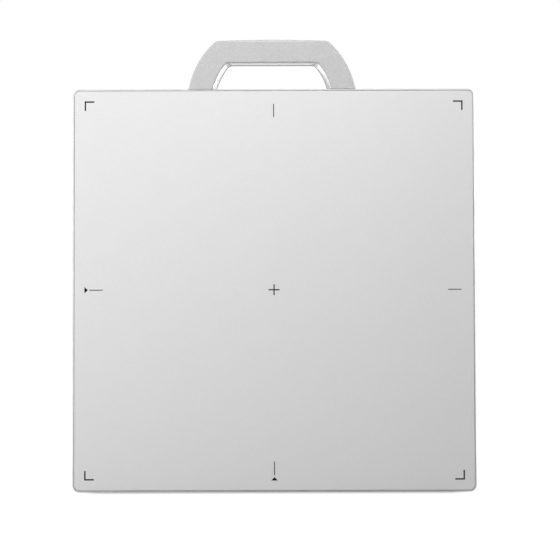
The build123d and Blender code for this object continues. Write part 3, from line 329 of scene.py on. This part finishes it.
def handleFinish(look):
    finish = newFinish("handleBlasted")
    x, y, z = finish.axes()
    across = x - look["middleX"]

    def spread(arcZ):
        # How far a place is from the centre of an arc
        up = z - arcZ
        return (across * across + up * up) ** 0.5

    pastOpening = (spread(look["bevelArcZ"]) - look["bevelRadius"]).atLeast(z - look["bevelTop"])
    bevel = ((pastOpening < look["bevelReach"]) * (y > look["polishFrom"])
             * (y < look["polishTo"]))
    # Along the top bar the polished bevel is painted a little duller than on the legs: painted
    # shade
    polish = bevel * finish.fade(z, *look["polishFade"], 1.0, look["shadedPolishAbove"])
    # Behind the bevel the wall of the opening is painted darker on the two legs: painted shade for
    # the dark line along the opening's inner edge
    wallShade = ((y > look["polishTo"]) * finish.fade(pastOpening, *look["wallShadeReach"], 1.0, 0.0)
            * finish.fade(z, *look["polishFade"], 1.0, 0.0))
    fromOutside = (spread(look["outerArcZ"]) - look["outerRadius"]).atLeast(z - look["outerTop"])
    # The outer edge band is burnished and also painted lighter, as a painted sheen
    burnishAndSheen = finish.fade(fromOutside, *look["burnishFade"])
    grain = finish.noise(look["grainPerMetre"], 4)
    blotch = finish.noise(look["blotchesPerMetre"], 3)
    tone = finish.mix(finish.fade(grain, *look["grainFade"]), look["grainDark"], look["base"])
    tone = finish.mix(burnishAndSheen, tone, look["burnishedSheen"])
    tone = finish.mix(wallShade, tone, look["wallShadeTone"])
    tone = finish.mix(polish, tone, look["polished"])
    rough = (look["roughness"] + look["blotchRoughness"] * (blotch - 0.5)
             - look["burnishSmoothness"] * burnishAndSheen)
    rough = rough * (1 - polish) + look["polishedRoughness"] * polish
    metallic = look["metallic"] + (1 - look["metallic"]) * polish
    return finish.surface(baseColor=tone, metallic=metallic, roughness=rough,
                          normal=finish.bump(grain * (1 - bevel), look["grainDepth"]))


dress(handleFinish(handleLook), "handle_front_shell", "handle_rear_shell")
print("frame and handle finished")


# Coats, plastics, rubbers and films share one build: two tones in patches under a speckled grain
mouldedCommon = {
    "patchesPerMetre": 30,
    "patchFade": (0.3, 0.7),
    "grainPerMetre": 700,
    "grainFade": (0.55, 0.75),
    "speck": 0.2,
    "depth": 0.00006,
    "roughnessSpread": 0.1,
    "metallic": 0.0,
}


def mouldedFinish(name, ownLook):
    look = {**mouldedCommon, **ownLook}
    finish = newFinish(name)
    patches = finish.noise(look["patchesPerMetre"], 3)
    grain = finish.noise(look["grainPerMetre"], 2)
    tone = finish.mix(finish.fade(patches, *look["patchFade"]), look["dark"], look["light"])
    tone = finish.mix(finish.fade(grain, *look["grainFade"]) * look["speck"], tone,
                      look["speckTone"])
    rough = look["roughness"] + look["roughnessSpread"] * (patches - 0.5)
    return finish.surface(baseColor=tone, metallic=look["metallic"], roughness=rough,
                          normal=finish.bump(grain, look["depth"]))


mouldedLooks = {
    "coverCoat": {
        "nodes": ["rear_cover"], "dark": (0.089, 0.092, 0.098), "light": (0.097, 0.101, 0.107),
        "speckTone": (0.16, 0.165, 0.17), "roughness": 0.5, "grainPerMetre": 900, "depth": 0.00012,
    },
    "windowPlastic": {
        "nodes": ["antenna_windows"], "dark": (0.05, 0.052, 0.055), "light": (0.06, 0.062, 0.066),
        "speckTone": (0.09, 0.09, 0.095), "roughness": 0.42, "grainPerMetre": 1500,
    },
    "packPlastic": {
        "nodes": ["battery_outer_case", "battery_inner_case"], "dark": (0.022, 0.023, 0.025),
        "light": (0.03, 0.031, 0.034), "speckTone": (0.06, 0.062, 0.066), "roughness": 0.46,
        "grainPerMetre": 1100, "depth": 0.0001,
    },
    "trayPlastic": {
        "nodes": ["battery_tray", "contact_block", "dock_connector", "latch_bolt_left",
                  "latch_bolt_right"],
        "dark": (0.018, 0.018, 0.02), "light": (0.026, 0.026, 0.028),
        "speckTone": (0.05, 0.05, 0.052), "roughness": 0.5,
    },
    "latchPlastic": {
        "nodes": ["latch_knob_left", "latch_knob_right"], "dark": (0.50, 0.13, 0.015),
        "light": (0.58, 0.16, 0.02), "speckTone": (0.66, 0.24, 0.06), "roughness": 0.4,
        "grainPerMetre": 1600,
    },
    "portPlastic": {
        "nodes": ["port_cover"], "dark": (0.09, 0.092, 0.098), "light": (0.11, 0.112, 0.118),
        "speckTone": (0.17, 0.17, 0.175), "roughness": 0.45, "grainPerMetre": 1400,
    },
    "ventPlastic": {
        "nodes": ["vent_plug"], "dark": (0.02, 0.02, 0.022), "light": (0.03, 0.03, 0.032),
        "speckTone": (0.06, 0.06, 0.06), "roughness": 0.55,
    },
    "footRubber": {
        "nodes": ["rear_feet"], "dark": (0.012, 0.012, 0.013), "light": (0.018, 0.018, 0.019),
        "speckTone": (0.06, 0.06, 0.058), "roughness": 0.7, "speck": 0.35,
    },
    "sealRubber": {
        "nodes": ["front_gasket", "rear_gasket", "handle_gaskets", "button_seals"],
        "dark": (0.015, 0.015, 0.016), "light": (0.022, 0.022, 0.023),
        "speckTone": (0.05, 0.05, 0.05), "roughness": 0.65,
    },
    "buttonRubber": {
        "nodes": ["power_button", "mode_button"], "dark": (0.03, 0.031, 0.034),
        "light": (0.038, 0.039, 0.042), "speckTone": (0.07, 0.07, 0.075), "roughness": 0.55,
        "grainPerMetre": 2400, "depth": 0.00003,
    },
    "labelStock": {
        "nodes": ["rear_label"], "dark": (0.52, 0.52, 0.525), "light": (0.56, 0.56, 0.565),
        "speckTone": (0.62, 0.62, 0.62), "roughness": 0.35, "grainPerMetre": 1800, "metallic": 0.3,
        "depth": 0.00002,
    },
    "lensClear": {
        "nodes": ["status_lenses"], "dark": (0.55, 0.66, 0.58), "light": (0.62, 0.74, 0.65),
        "speckTone": (0.72, 0.8, 0.74), "roughness": 0.18, "grainPerMetre": 900, "depth": 0.00001,
    },
    "foamGrey": {
        "nodes": ["foam_pad"], "dark": (0.05, 0.05, 0.052), "light": (0.075, 0.075, 0.078),
        "speckTone": (0.015, 0.015, 0.015), "roughness": 0.9, "grainPerMetre": 1300,
        "depth": 0.0003, "speck": 0.6,
    },
    "crystalLayer": {
        "nodes": ["scintillator"], "dark": (0.74, 0.77, 0.70), "light": (0.80, 0.83, 0.76),
        "speckTone": (0.9, 0.92, 0.87), "roughness": 0.5, "grainPerMetre": 3000,
    },
    "sensorGlass": {
        "nodes": ["sensor_glass"], "dark": (0.10, 0.14, 0.13), "light": (0.13, 0.17, 0.16),
        "speckTone": (0.2, 0.25, 0.24), "roughness": 0.08, "grainPerMetre": 6000, "depth": 0.00001,
    },
    "siliconePad": {
        "nodes": ["thermal_pad"], "dark": (0.17, 0.26, 0.34), "light": (0.2, 0.3, 0.38),
        "speckTone": (0.3, 0.4, 0.48), "roughness": 0.6,
    },
    "antennaCeramic": {
        "nodes": ["antennas"], "dark": (0.42, 0.40, 0.32), "light": (0.48, 0.45, 0.36),
        "speckTone": (0.6, 0.57, 0.48), "roughness": 0.5,
    },
    "leadJacket": {
        "nodes": ["antenna_leads"], "dark": (0.014, 0.014, 0.015), "light": (0.02, 0.02, 0.021),
        "speckTone": (0.05, 0.05, 0.05), "roughness": 0.5,
    },
    "cableFilm": {
        "nodes": ["flat_cables"], "dark": (0.58, 0.59, 0.61), "light": (0.64, 0.65, 0.67),
        "speckTone": (0.75, 0.76, 0.78), "roughness": 0.3,
    },
    "flexFilm": {
        "nodes": ["sensor_flexes"], "dark": (0.28, 0.10, 0.012), "light": (0.34, 0.13, 0.018),
        "speckTone": (0.45, 0.2, 0.05), "roughness": 0.25, "depth": 0.00002,
    },
    "chipBlack": {
        "nodes": ["board_chips", "flex_chips"], "dark": (0.012, 0.012, 0.013),
        "light": (0.018, 0.018, 0.02), "speckTone": (0.04, 0.04, 0.042), "roughness": 0.5,
        "grainPerMetre": 2600,
    },
}

for name, look in mouldedLooks.items():
    dress(mouldedFinish(name, look), *look["nodes"])


# Bare metals: rolled or machined, with fine lines one way and faint stains
metalCommon = {
    "linesPerMetre": 1600,
    "stretch": (0.03, 1, 1),
    "lineFade": (0.3, 0.7),
    "lineDepth": 0.00001,
    "stainsPerMetre": 70,
    "stainFade": (0.5, 0.8),
    "stainShare": 0.4,
    "stainRoughness": 0.15,
}


def metalFinish(name, ownLook):
    look = {**metalCommon, **ownLook}
    finish = newFinish(name)
    lines = finish.noise(look["linesPerMetre"], 2, look["stretch"])
    stain = finish.fade(finish.noise(look["stainsPerMetre"], 3), *look["stainFade"])
    tone = finish.mix(finish.fade(lines, *look["lineFade"]), look["dark"], look["light"])
    tone = finish.mix(stain * look["stainShare"], tone, look["stain"])
    return finish.surface(baseColor=tone, metallic=1.0,
                          roughness=look["roughness"] + look["stainRoughness"] * stain,
                          normal=finish.bump(lines, look["lineDepth"]))


metalLooks = {
    "screwSteel": {
        "nodes": ["rear_cover_screws", "handle_shell_screws", "handle_screws", "support_screws",
                  "board_screws", "port_cover_pin"],
        "dark": (0.34, 0.34, 0.35), "light": (0.46, 0.46, 0.47), "stain": (0.24, 0.23, 0.22),
        "roughness": 0.3,
    },
    "leadSheet": {
        "nodes": ["lead_sheet"], "dark": (0.12, 0.125, 0.14), "light": (0.16, 0.165, 0.18),
        "stain": (0.25, 0.25, 0.26), "roughness": 0.6,
    },
    "castPlate": {
        "nodes": ["support_plate", "handle_core"], "dark": (0.38, 0.39, 0.38),
        "light": (0.46, 0.47, 0.46), "stain": (0.3, 0.3, 0.29), "roughness": 0.5,
    },
    "brass": {
        "nodes": ["board_standoffs"], "dark": (0.55, 0.38, 0.13), "light": (0.65, 0.47, 0.18),
        "stain": (0.4, 0.26, 0.1), "roughness": 0.3,
    },
    "gold": {
        "nodes": ["contact_pins", "battery_pads", "dock_contacts"], "dark": (0.72, 0.5, 0.17),
        "light": (0.83, 0.6, 0.24), "stain": (0.5, 0.33, 0.12), "roughness": 0.22,
    },
    "tin": {
        "nodes": ["board_shields"], "dark": (0.5, 0.5, 0.49), "light": (0.6, 0.6, 0.59),
        "stain": (0.4, 0.39, 0.37), "roughness": 0.35,
    },
    "cellFoil": {
        "nodes": ["battery_cells"], "dark": (0.56, 0.57, 0.6), "light": (0.66, 0.67, 0.7),
        "stain": (0.7, 0.71, 0.72), "roughness": 0.28,
    },
}

for name, look in metalLooks.items():
    dress(metalFinish(name, look), *look["nodes"])


# Circuit boards: green mask over winding tracks, with tinned pads
boardLook = {
    "mask": (0.012, 0.085, 0.035),
    "track": (0.02, 0.15, 0.06),
    "pad": (0.55, 0.5, 0.36),
    "padsPerMetre": 156.25,
    "padSize": 0.12,
    "padMetal": 0.8,
    "tracksPerMetre": 78.125,
    "trackBend": 4.0,
    "trackFade": (0.55, 0.62),
    "trackDepth": 0.00002,
    "roughness": 0.3,
    "trackRoughness": 0.1,
}


def boardFinish(look):
    finish = newFinish("boardMask")
    cells = finish.node("ShaderNodeTexVoronoi", {"feature": "F1", "distance": "CHEBYCHEV"},
                        {"Vector": finish.place, "Scale": look["padsPerMetre"]}, "Distance")
    tracks = finish.node("ShaderNodeTexWave", {"wave_type": "BANDS", "bands_direction": "DIAGONAL"},
                         {"Vector": finish.place, "Scale": look["tracksPerMetre"],
                          "Distortion": look["trackBend"]})
    tone = finish.mix(finish.fade(tracks, *look["trackFade"]), look["mask"], look["track"])
    pads = cells < look["padSize"]
    tone = finish.mix(pads, tone, look["pad"])
    return finish.surface(baseColor=tone, metallic=pads * look["padMetal"],
                          roughness=look["roughness"] + look["trackRoughness"] * tracks,
                          normal=finish.bump(tracks, look["trackDepth"]))


dress(boardFinish(boardLook), "readout_board", "gate_board", "main_board", "power_board",
      "wifi_module", "battery_board", "button_board")
print("inner finishes done")


# New pieces: each mesh is closed, shaded smooth with sharp edges kept, and rides on a CAD body
weldReach = 0.000001
sharpAngle = math.radians(32)


def renumber(elements, place):
    # Orders verts, edges or faces by where they lie, so that each run gives the same mesh
    ordered = sorted(elements, key=lambda element: tuple(place(element)))
    for index, element in enumerate(ordered):
        element.index = index
    elements.sort()


def newPiece(name, mesh, body, material, slot, *replaced):
    bmesh.ops.remove_doubles(mesh, verts=mesh.verts, dist=weldReach)
    bmesh.ops.recalc_face_normals(mesh, faces=mesh.faces)
    renumber(mesh.verts, lambda vert: vert.co)
    renumber(mesh.edges, lambda edge: edge.verts[0].co + edge.verts[1].co)
    renumber(mesh.faces, lambda face: face.calc_center_median())
    data = bpy.data.meshes.new(name)
    mesh.to_mesh(data)
    mesh.free()
    data.shade_smooth()
    data.set_sharp_from_angle(angle=sharpAngle)
    data.materials.append(material)
    piece = bpy.data.objects.new(name, data)
    scene.collection.objects.link(piece)
    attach(piece, body)
    if replaced:
        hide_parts(*replaced)


def facingRear(x, y, z):
    # Turns a shape that was built looking up so that it looks out of the back, at x, y, z
    return Matrix.Translation((x, y, z)) @ Matrix.Rotation(math.radians(-90), 4, "X")


def newRing(mesh, radius, segments):
    made = bmesh.ops.create_circle(mesh, cap_ends=False, radius=radius, segments=segments)
    return list(dict.fromkeys(edge for vert in made["verts"] for edge in vert.link_edges))


def grownRing(mesh, edges, factor, rise):
    # Extrudes a ring of edges, scaled about the vertical axis and moved up or down
    made = bmesh.ops.extrude_edge_only(mesh, edges=edges)["geom"]
    verts = {item for item in made if isinstance(item, bmesh.types.BMVert)}
    bmesh.ops.scale(mesh, verts=list(verts), vec=(factor, factor, 1))
    bmesh.ops.translate(mesh, verts=list(verts), vec=(0, 0, rise))
    return [item for item in made
            if isinstance(item, bmesh.types.BMEdge) and set(item.verts) <= verts]


# Countersunk screws with a six-lobed socket
screwLook = {
    "headRadius": 0.0023,
    "rimBevel": 0.00012,
    "socketRadius": 0.00125,
    "socketDepth": 0.0010,
    "socketTaper": 0.94,
    "lobes": (1.0, 0.9, 0.76, 0.9),
    "shankRadius": 0.00125,
    "length": 0.0070,
    "point": 0.0005,
    "pointTaper": 0.6,
    "segments": 24,
    "coverStations": (-0.2228, -0.111, 0.0, 0.111),
    "coverInset": 0.0072,
    "coverHeadY": 0.0072,
    "middleZ": 0.23,
    "halfWidth": 0.23,
    "handleMiddleX": -0.0018,
    "handleBarX": 0.042,
    "handleBarZ": 0.5025,
    "handleLegX": 0.07515,
    "handleLegZ": 0.4805,
    "handleHeadY": 0.0067,
}


def addScrew(mesh, look, x, y, z):
    # Built looking up, with the head's top at height 0, and turned to its place at the end
    before = set(mesh.verts)
    rim = newRing(mesh, look["headRadius"] - look["rimBevel"], look["segments"])
    socket = newRing(mesh, look["socketRadius"], look["segments"])
    corners = sorted({vert for edge in socket for vert in edge.verts},
                     key=lambda vert: math.atan2(vert.co.y, vert.co.x))
    for step, factor in enumerate(look["lobes"]):
        bmesh.ops.scale(mesh, verts=corners[step::len(look["lobes"])], vec=(factor, factor, 1))
    bmesh.ops.bridge_loops(mesh, edges=rim + socket)
    floor = grownRing(mesh, socket, look["socketTaper"], -look["socketDepth"])
    bmesh.ops.contextual_create(mesh, geom=floor)
    cone = look["headRadius"] - look["shankRadius"]
    edge = grownRing(mesh, rim, look["headRadius"] / (look["headRadius"] - look["rimBevel"]),
                     -look["rimBevel"])
    neck = grownRing(mesh, edge, look["shankRadius"] / look["headRadius"],
                     look["rimBevel"] - cone)
    tip = grownRing(mesh, neck, 1, cone + look["point"] - look["length"])
    end = grownRing(mesh, tip, look["pointTaper"], -look["point"])
    bmesh.ops.contextual_create(mesh, geom=end)
    added = [vert for vert in mesh.verts if vert not in before]
    bmesh.ops.transform(mesh, matrix=facingRear(x, y, z), verts=added)


def makeScrews(look):
    material = bpy.data.materials["screwSteel"]
    reach = look["halfWidth"] - look["coverInset"]
    mesh = bmesh.new()
    for station in look["coverStations"]:
        for x, z in ((station, reach), (reach, -station), (-station, -reach), (-reach, station)):
            addScrew(mesh, look, x, look["coverHeadY"], look["middleZ"] + z)
    newPiece("coverScrews", mesh, "detector", material, "screw_steel", "rear_cover_screws")
    mesh = bmesh.new()
    for step in (-1, 0, 1):
        addScrew(mesh, look, look["handleMiddleX"] + step * look["handleBarX"], look["handleHeadY"],
                 look["handleBarZ"])
    for side in (-1, 1):
        addScrew(mesh, look, look["handleMiddleX"] + side * look["handleLegX"], look["handleHeadY"],
                 look["handleLegZ"])
    newPiece("handleShellScrews", mesh, "detector", material, "screw_steel", "handle_shell_screws")


makeScrews(screwLook)


# Rubber feet: a turned pad with a dished middle and two grip rings
footLook = {
    "places": ((-0.214, 0.014), (0.214, 0.014), (-0.214, 0.446), (0.214, 0.446)),
    "baseY": 0.00675,
    "profile": ((0.0, 0.00078), (0.0014, 0.00082), (0.0017, 0.001), (0.0026, 0.001),
                (0.0028, 0.0008), (0.0034, 0.0008), (0.0036, 0.001), (0.0052, 0.001),
                (0.0057, 0.00088), (0.0060, 0.0006), (0.0060, 0.0), (0.0, 0.0)),
    "steps": 48,
}


def makeFeet(look):
    mesh = bmesh.new()
    for x, z in look["places"]:
        verts = [mesh.verts.new((radius, 0, height)) for radius, height in look["profile"]]
        edges = [mesh.edges.new(pair) for pair in zip(verts, verts[1:])]
        bmesh.ops.spin(mesh, geom=verts + edges, cent=(0, 0, 0), axis=(0, 0, 1),
                       angle=math.radians(360), steps=look["steps"], use_merge=True)
        # A tag marks the feet that are in their place already
        turned = {vert for face in mesh.faces for vert in face.verts if not vert.tag}
        bmesh.ops.transform(mesh, matrix=facingRear(x, look["baseY"], z), verts=list(turned))
        for vert in turned:
            vert.tag = True
    newPiece("feetPads", mesh, "detector", bpy.data.materials["footRubber"], "feet_rubber",
             "rear_feet")


makeFeet(footLook)
print("screws and feet made")


# Printed marks: thin pale ink on the cover beside the latches, on the battery and on the buttons
printLook = {
    "thickness": 0.00002,
    "latchX": 0.103,
    "latchZ": 0.150,
    "latchMarkDrop": 0.0125,
    "arrowRadius": 0.0022,
    "arrowShift": 0.003,
    "arrowBar": (0.0045, 0.0011),
    "dotRadius": 0.0011,
    "dotSegments": 24,
    "dotShift": 0.0045,
    "coverY": 0.00725,
    "batteryY": 0.0072,
    "chargeX": 0.064,
    "chargeZ": 0.190,
    "chargePitch": 0.006,
    "chargeCount": 4,
    "powerX": 0.124,
    "modeX": 0.139,
    "buttonY": -0.00055,
    "buttonZ": 0.4598,
    "ringInner": 0.0009,
    "ringOuter": 0.00115,
    "ringGap": math.radians(60),
    "ringSteps": 28,
    "powerBar": (0.00025, 0.0011),
    "powerBarRise": 0.0008,
    "modeBar": (0.0019, 0.00028),
    "modeBarPitch": 0.0007,
    "ink": {"dark": (0.50, 0.505, 0.51), "light": (0.58, 0.585, 0.59),
            "speckTone": (0.3, 0.3, 0.305), "roughness": 0.45, "grainPerMetre": 3000,
            "depth": 0.000005},
}


def liftedPrint(mesh, look, faces):
    # Gives flat faces their thickness, so that each mark is closed
    made = bmesh.ops.extrude_face_region(mesh, geom=faces, use_keep_orig=True)["geom"]
    raised = [item for item in made if isinstance(item, bmesh.types.BMVert)]
    bmesh.ops.translate(mesh, verts=raised, vec=(0, 0, look["thickness"]))


def addDisc(mesh, radius, segments, x, turn=0.0):
    place = Matrix.Translation((x, 0, 0)) @ Matrix.Rotation(turn, 4, "Z")
    made = bmesh.ops.create_circle(mesh, cap_ends=True, radius=radius, segments=segments,
                                   matrix=place)
    return list(dict.fromkeys(face for vert in made["verts"] for face in vert.link_faces))


def addBar(mesh, size, x, y):
    place = Matrix.Translation((x, y, 0)) @ Matrix.Diagonal((*size, 1, 1))
    made = bmesh.ops.create_grid(mesh, x_segments=1, y_segments=1, size=0.5, matrix=place)
    return list(dict.fromkeys(face for vert in made["verts"] for face in vert.link_faces))


def addArc(mesh, look):
    # A ring with a gap at the top, turned from one short edge
    gap = look["ringGap"]
    start = math.radians(90) + gap / 2
    corners = [mesh.verts.new((math.cos(start) * radius, math.sin(start) * radius, 0))
               for radius in (look["ringInner"], look["ringOuter"])]
    edge = mesh.edges.new(corners)
    before = set(mesh.faces)
    bmesh.ops.spin(mesh, geom=corners + [edge], cent=(0, 0, 0), axis=(0, 0, 1),
                   angle=math.radians(360) - gap, steps=look["ringSteps"], use_merge=False)
    return [face for face in mesh.faces if face not in before]


def makePrints(look):
    ink = mouldedFinish("paleInk", look["ink"])
    mesh = bmesh.new()
    for side in (-1, 1):
        # From the pack outwards: a triangle, a bar and a dot
        x = side * look["latchX"]
        faces = addDisc(mesh, look["arrowRadius"], 3, x - side * look["arrowShift"],
                        math.radians(90 - 90 * side))
        faces += addBar(mesh, look["arrowBar"], x, 0)
        faces += addDisc(mesh, look["dotRadius"], look["dotSegments"],
                         x + side * look["dotShift"])
        liftedPrint(mesh, look, faces)
    markZ = look["latchZ"] - look["latchMarkDrop"]
    bmesh.ops.transform(mesh, verts=mesh.verts, matrix=facingRear(0, look["coverY"], markZ))
    newPiece("latchMarks", mesh, "detector", ink, "label_stock")

    mesh = bmesh.new()
    faces = []
    for step in range(look["chargeCount"]):
        faces += addDisc(mesh, look["dotRadius"], look["dotSegments"],
                         (step - (look["chargeCount"] - 1) / 2) * look["chargePitch"])
    liftedPrint(mesh, look, faces)
    bmesh.ops.transform(mesh, verts=mesh.verts,
                        matrix=facingRear(look["chargeX"], look["batteryY"], look["chargeZ"]))
    newPiece("chargeDots", mesh, "battery", ink, "label_stock")

    mesh = bmesh.new()
    faces = addArc(mesh, look) + addBar(mesh, look["powerBar"], 0, look["powerBarRise"])
    liftedPrint(mesh, look, faces)
    bmesh.ops.translate(mesh, verts=mesh.verts,
                        vec=(look["powerX"], look["buttonY"], look["buttonZ"]))
    newPiece("powerMark", mesh, "power_key", ink, "label_stock")

    mesh = bmesh.new()
    faces = []
    for step in (-1, 0, 1):
        faces += addBar(mesh, look["modeBar"], 0, step * look["modeBarPitch"])
    liftedPrint(mesh, look, faces)
    bmesh.ops.translate(mesh, verts=mesh.verts,
                        vec=(look["modeX"], look["buttonY"], look["buttonZ"]))
    newPiece("modeMark", mesh, "mode_key", ink, "label_stock")


makePrints(printLook)
print("printed marks made")


# Floor and light
studio = {
    "floorHalf": 9.0,
    "floorTone": (0.36, 0.36, 0.36),
    "glowNear": 0.75,
    "glowFar": 1.0,
    "glowReach": (0.10, 0.55),
    "glowSquash": 0.25,
    "footprint": (0.197, 0.0075),
    # Painted contact shadow on the floor around the footprint: its deepest level and its reach
    "paintedShadowLevel": 0.36,
    "paintedShadowReach": 0.032,
    "ambient": 0.155,
    "darkFrom": -0.8,
    "darkTo": -0.1,
    "darkLevel": 0.3,
    "aim": (0, 0, 0.24),
    "lamps": {
        "keyLamp": {"place": (0.05, -0.8, 1.03), "size": 0.6, "power": 8.58},
        "sideLamp": {"place": (-0.79, -0.8, 0.42), "size": 0.6, "power": 5.63},
        "rightLamp": {"place": (1.2, 0.20, 0.60), "size": 0.8, "power": 9.5},
        "leftLamp": {"place": (-1.15, 0.55, 0.60), "size": 0.8, "power": 6.5},
    },
}


def rayKinds(finish):
    outputs = finish.node("ShaderNodeLightPath", output="Is Camera Ray").socket.node.outputs
    return {name: Wire(finish, outputs[name])
            for name in ("Is Camera Ray", "Is Glossy Ray", "Is Transmission Ray")}


def makeFloor(setup):
    mesh = bmesh.new()
    bmesh.ops.create_grid(mesh, x_segments=1, y_segments=1, size=setup["floorHalf"])
    data = bpy.data.meshes.new("floor")
    mesh.to_mesh(data)
    mesh.free()
    floor = bpy.data.objects.new("floor", data)
    scene.collection.objects.link(floor)
    finish = newFinish("floorWhite")
    rays = rayKinds(finish)
    seen = rays["Is Camera Ray"] + rays["Is Glossy Ray"] + rays["Is Transmission Ray"]
    base = finish.node("ShaderNodeBsdfDiffuse", None, {"Color": (*setup["floorTone"], 1.0)})
    x, y = finish.axes()[:2]
    fromMiddle = (x * x * setup["glowSquash"] + y * y) ** 0.5
    level = finish.fade(fromMiddle, *setup["glowReach"], setup["glowNear"], setup["glowFar"])
    # Painted contact shadow: the floor's glow is cut close to the object, as shade falls under
    # anything that stands on it
    beside, ahead = [(along.size() - half).atLeast(0)
                     for along, half in zip((x, y), setup["footprint"])]
    level = level * finish.fade((beside * beside + ahead * ahead) ** 0.5,
                                0.0, setup["paintedShadowReach"], setup["paintedShadowLevel"], 1.0)
    glow = finish.node("ShaderNodeEmission", None, {"Strength": seen * level})
    lit = finish.node("ShaderNodeAddShader", None, {0: base, 1: glow})
    data.materials.append(finish.close(lit))


def makeWorld(setup):
    # White to the camera; reflections see it darker behind the viewer, which edges polished metal
    world = bpy.data.worlds.new("studio")
    scene.world = world
    finish = Finish(world)
    rays = rayKinds(finish)
    direction = finish.node("ShaderNodeTexCoord", output="Generated")
    depth = finish.node("ShaderNodeSeparateXYZ", None, {0: direction}, "Y")
    darker = finish.fade(depth, setup["darkFrom"], setup["darkTo"], setup["darkLevel"], 1.0)
    mirrored = rays["Is Glossy Ray"] + rays["Is Transmission Ray"]
    level = setup["ambient"] + mirrored * (darker - setup["ambient"])
    level = level + rays["Is Camera Ray"] * (1 - level)
    sky = finish.node("ShaderNodeBackground", None,
                      {"Color": (1.0, 1.0, 1.0, 1.0), "Strength": level})
    finish.close(sky, "ShaderNodeOutputWorld")


def makeLamp(name, setup, aim):
    data = bpy.data.lights.new(name, "AREA")
    data.size = setup["size"]
    data.energy = setup["power"]
    lamp = bpy.data.objects.new(name, data)
    towards = Vector(aim) - Vector(setup["place"])
    lamp.matrix_world = (Matrix.Translation(setup["place"])
                         @ towards.to_track_quat("-Z", "Y").to_matrix().to_4x4())
    lamp.visible_camera = False
    scene.collection.objects.link(lamp)


makeFloor(studio)
makeWorld(studio)
for name, setup in studio["lamps"].items():
    makeLamp(name, setup, studio["aim"])
print("studio ready")
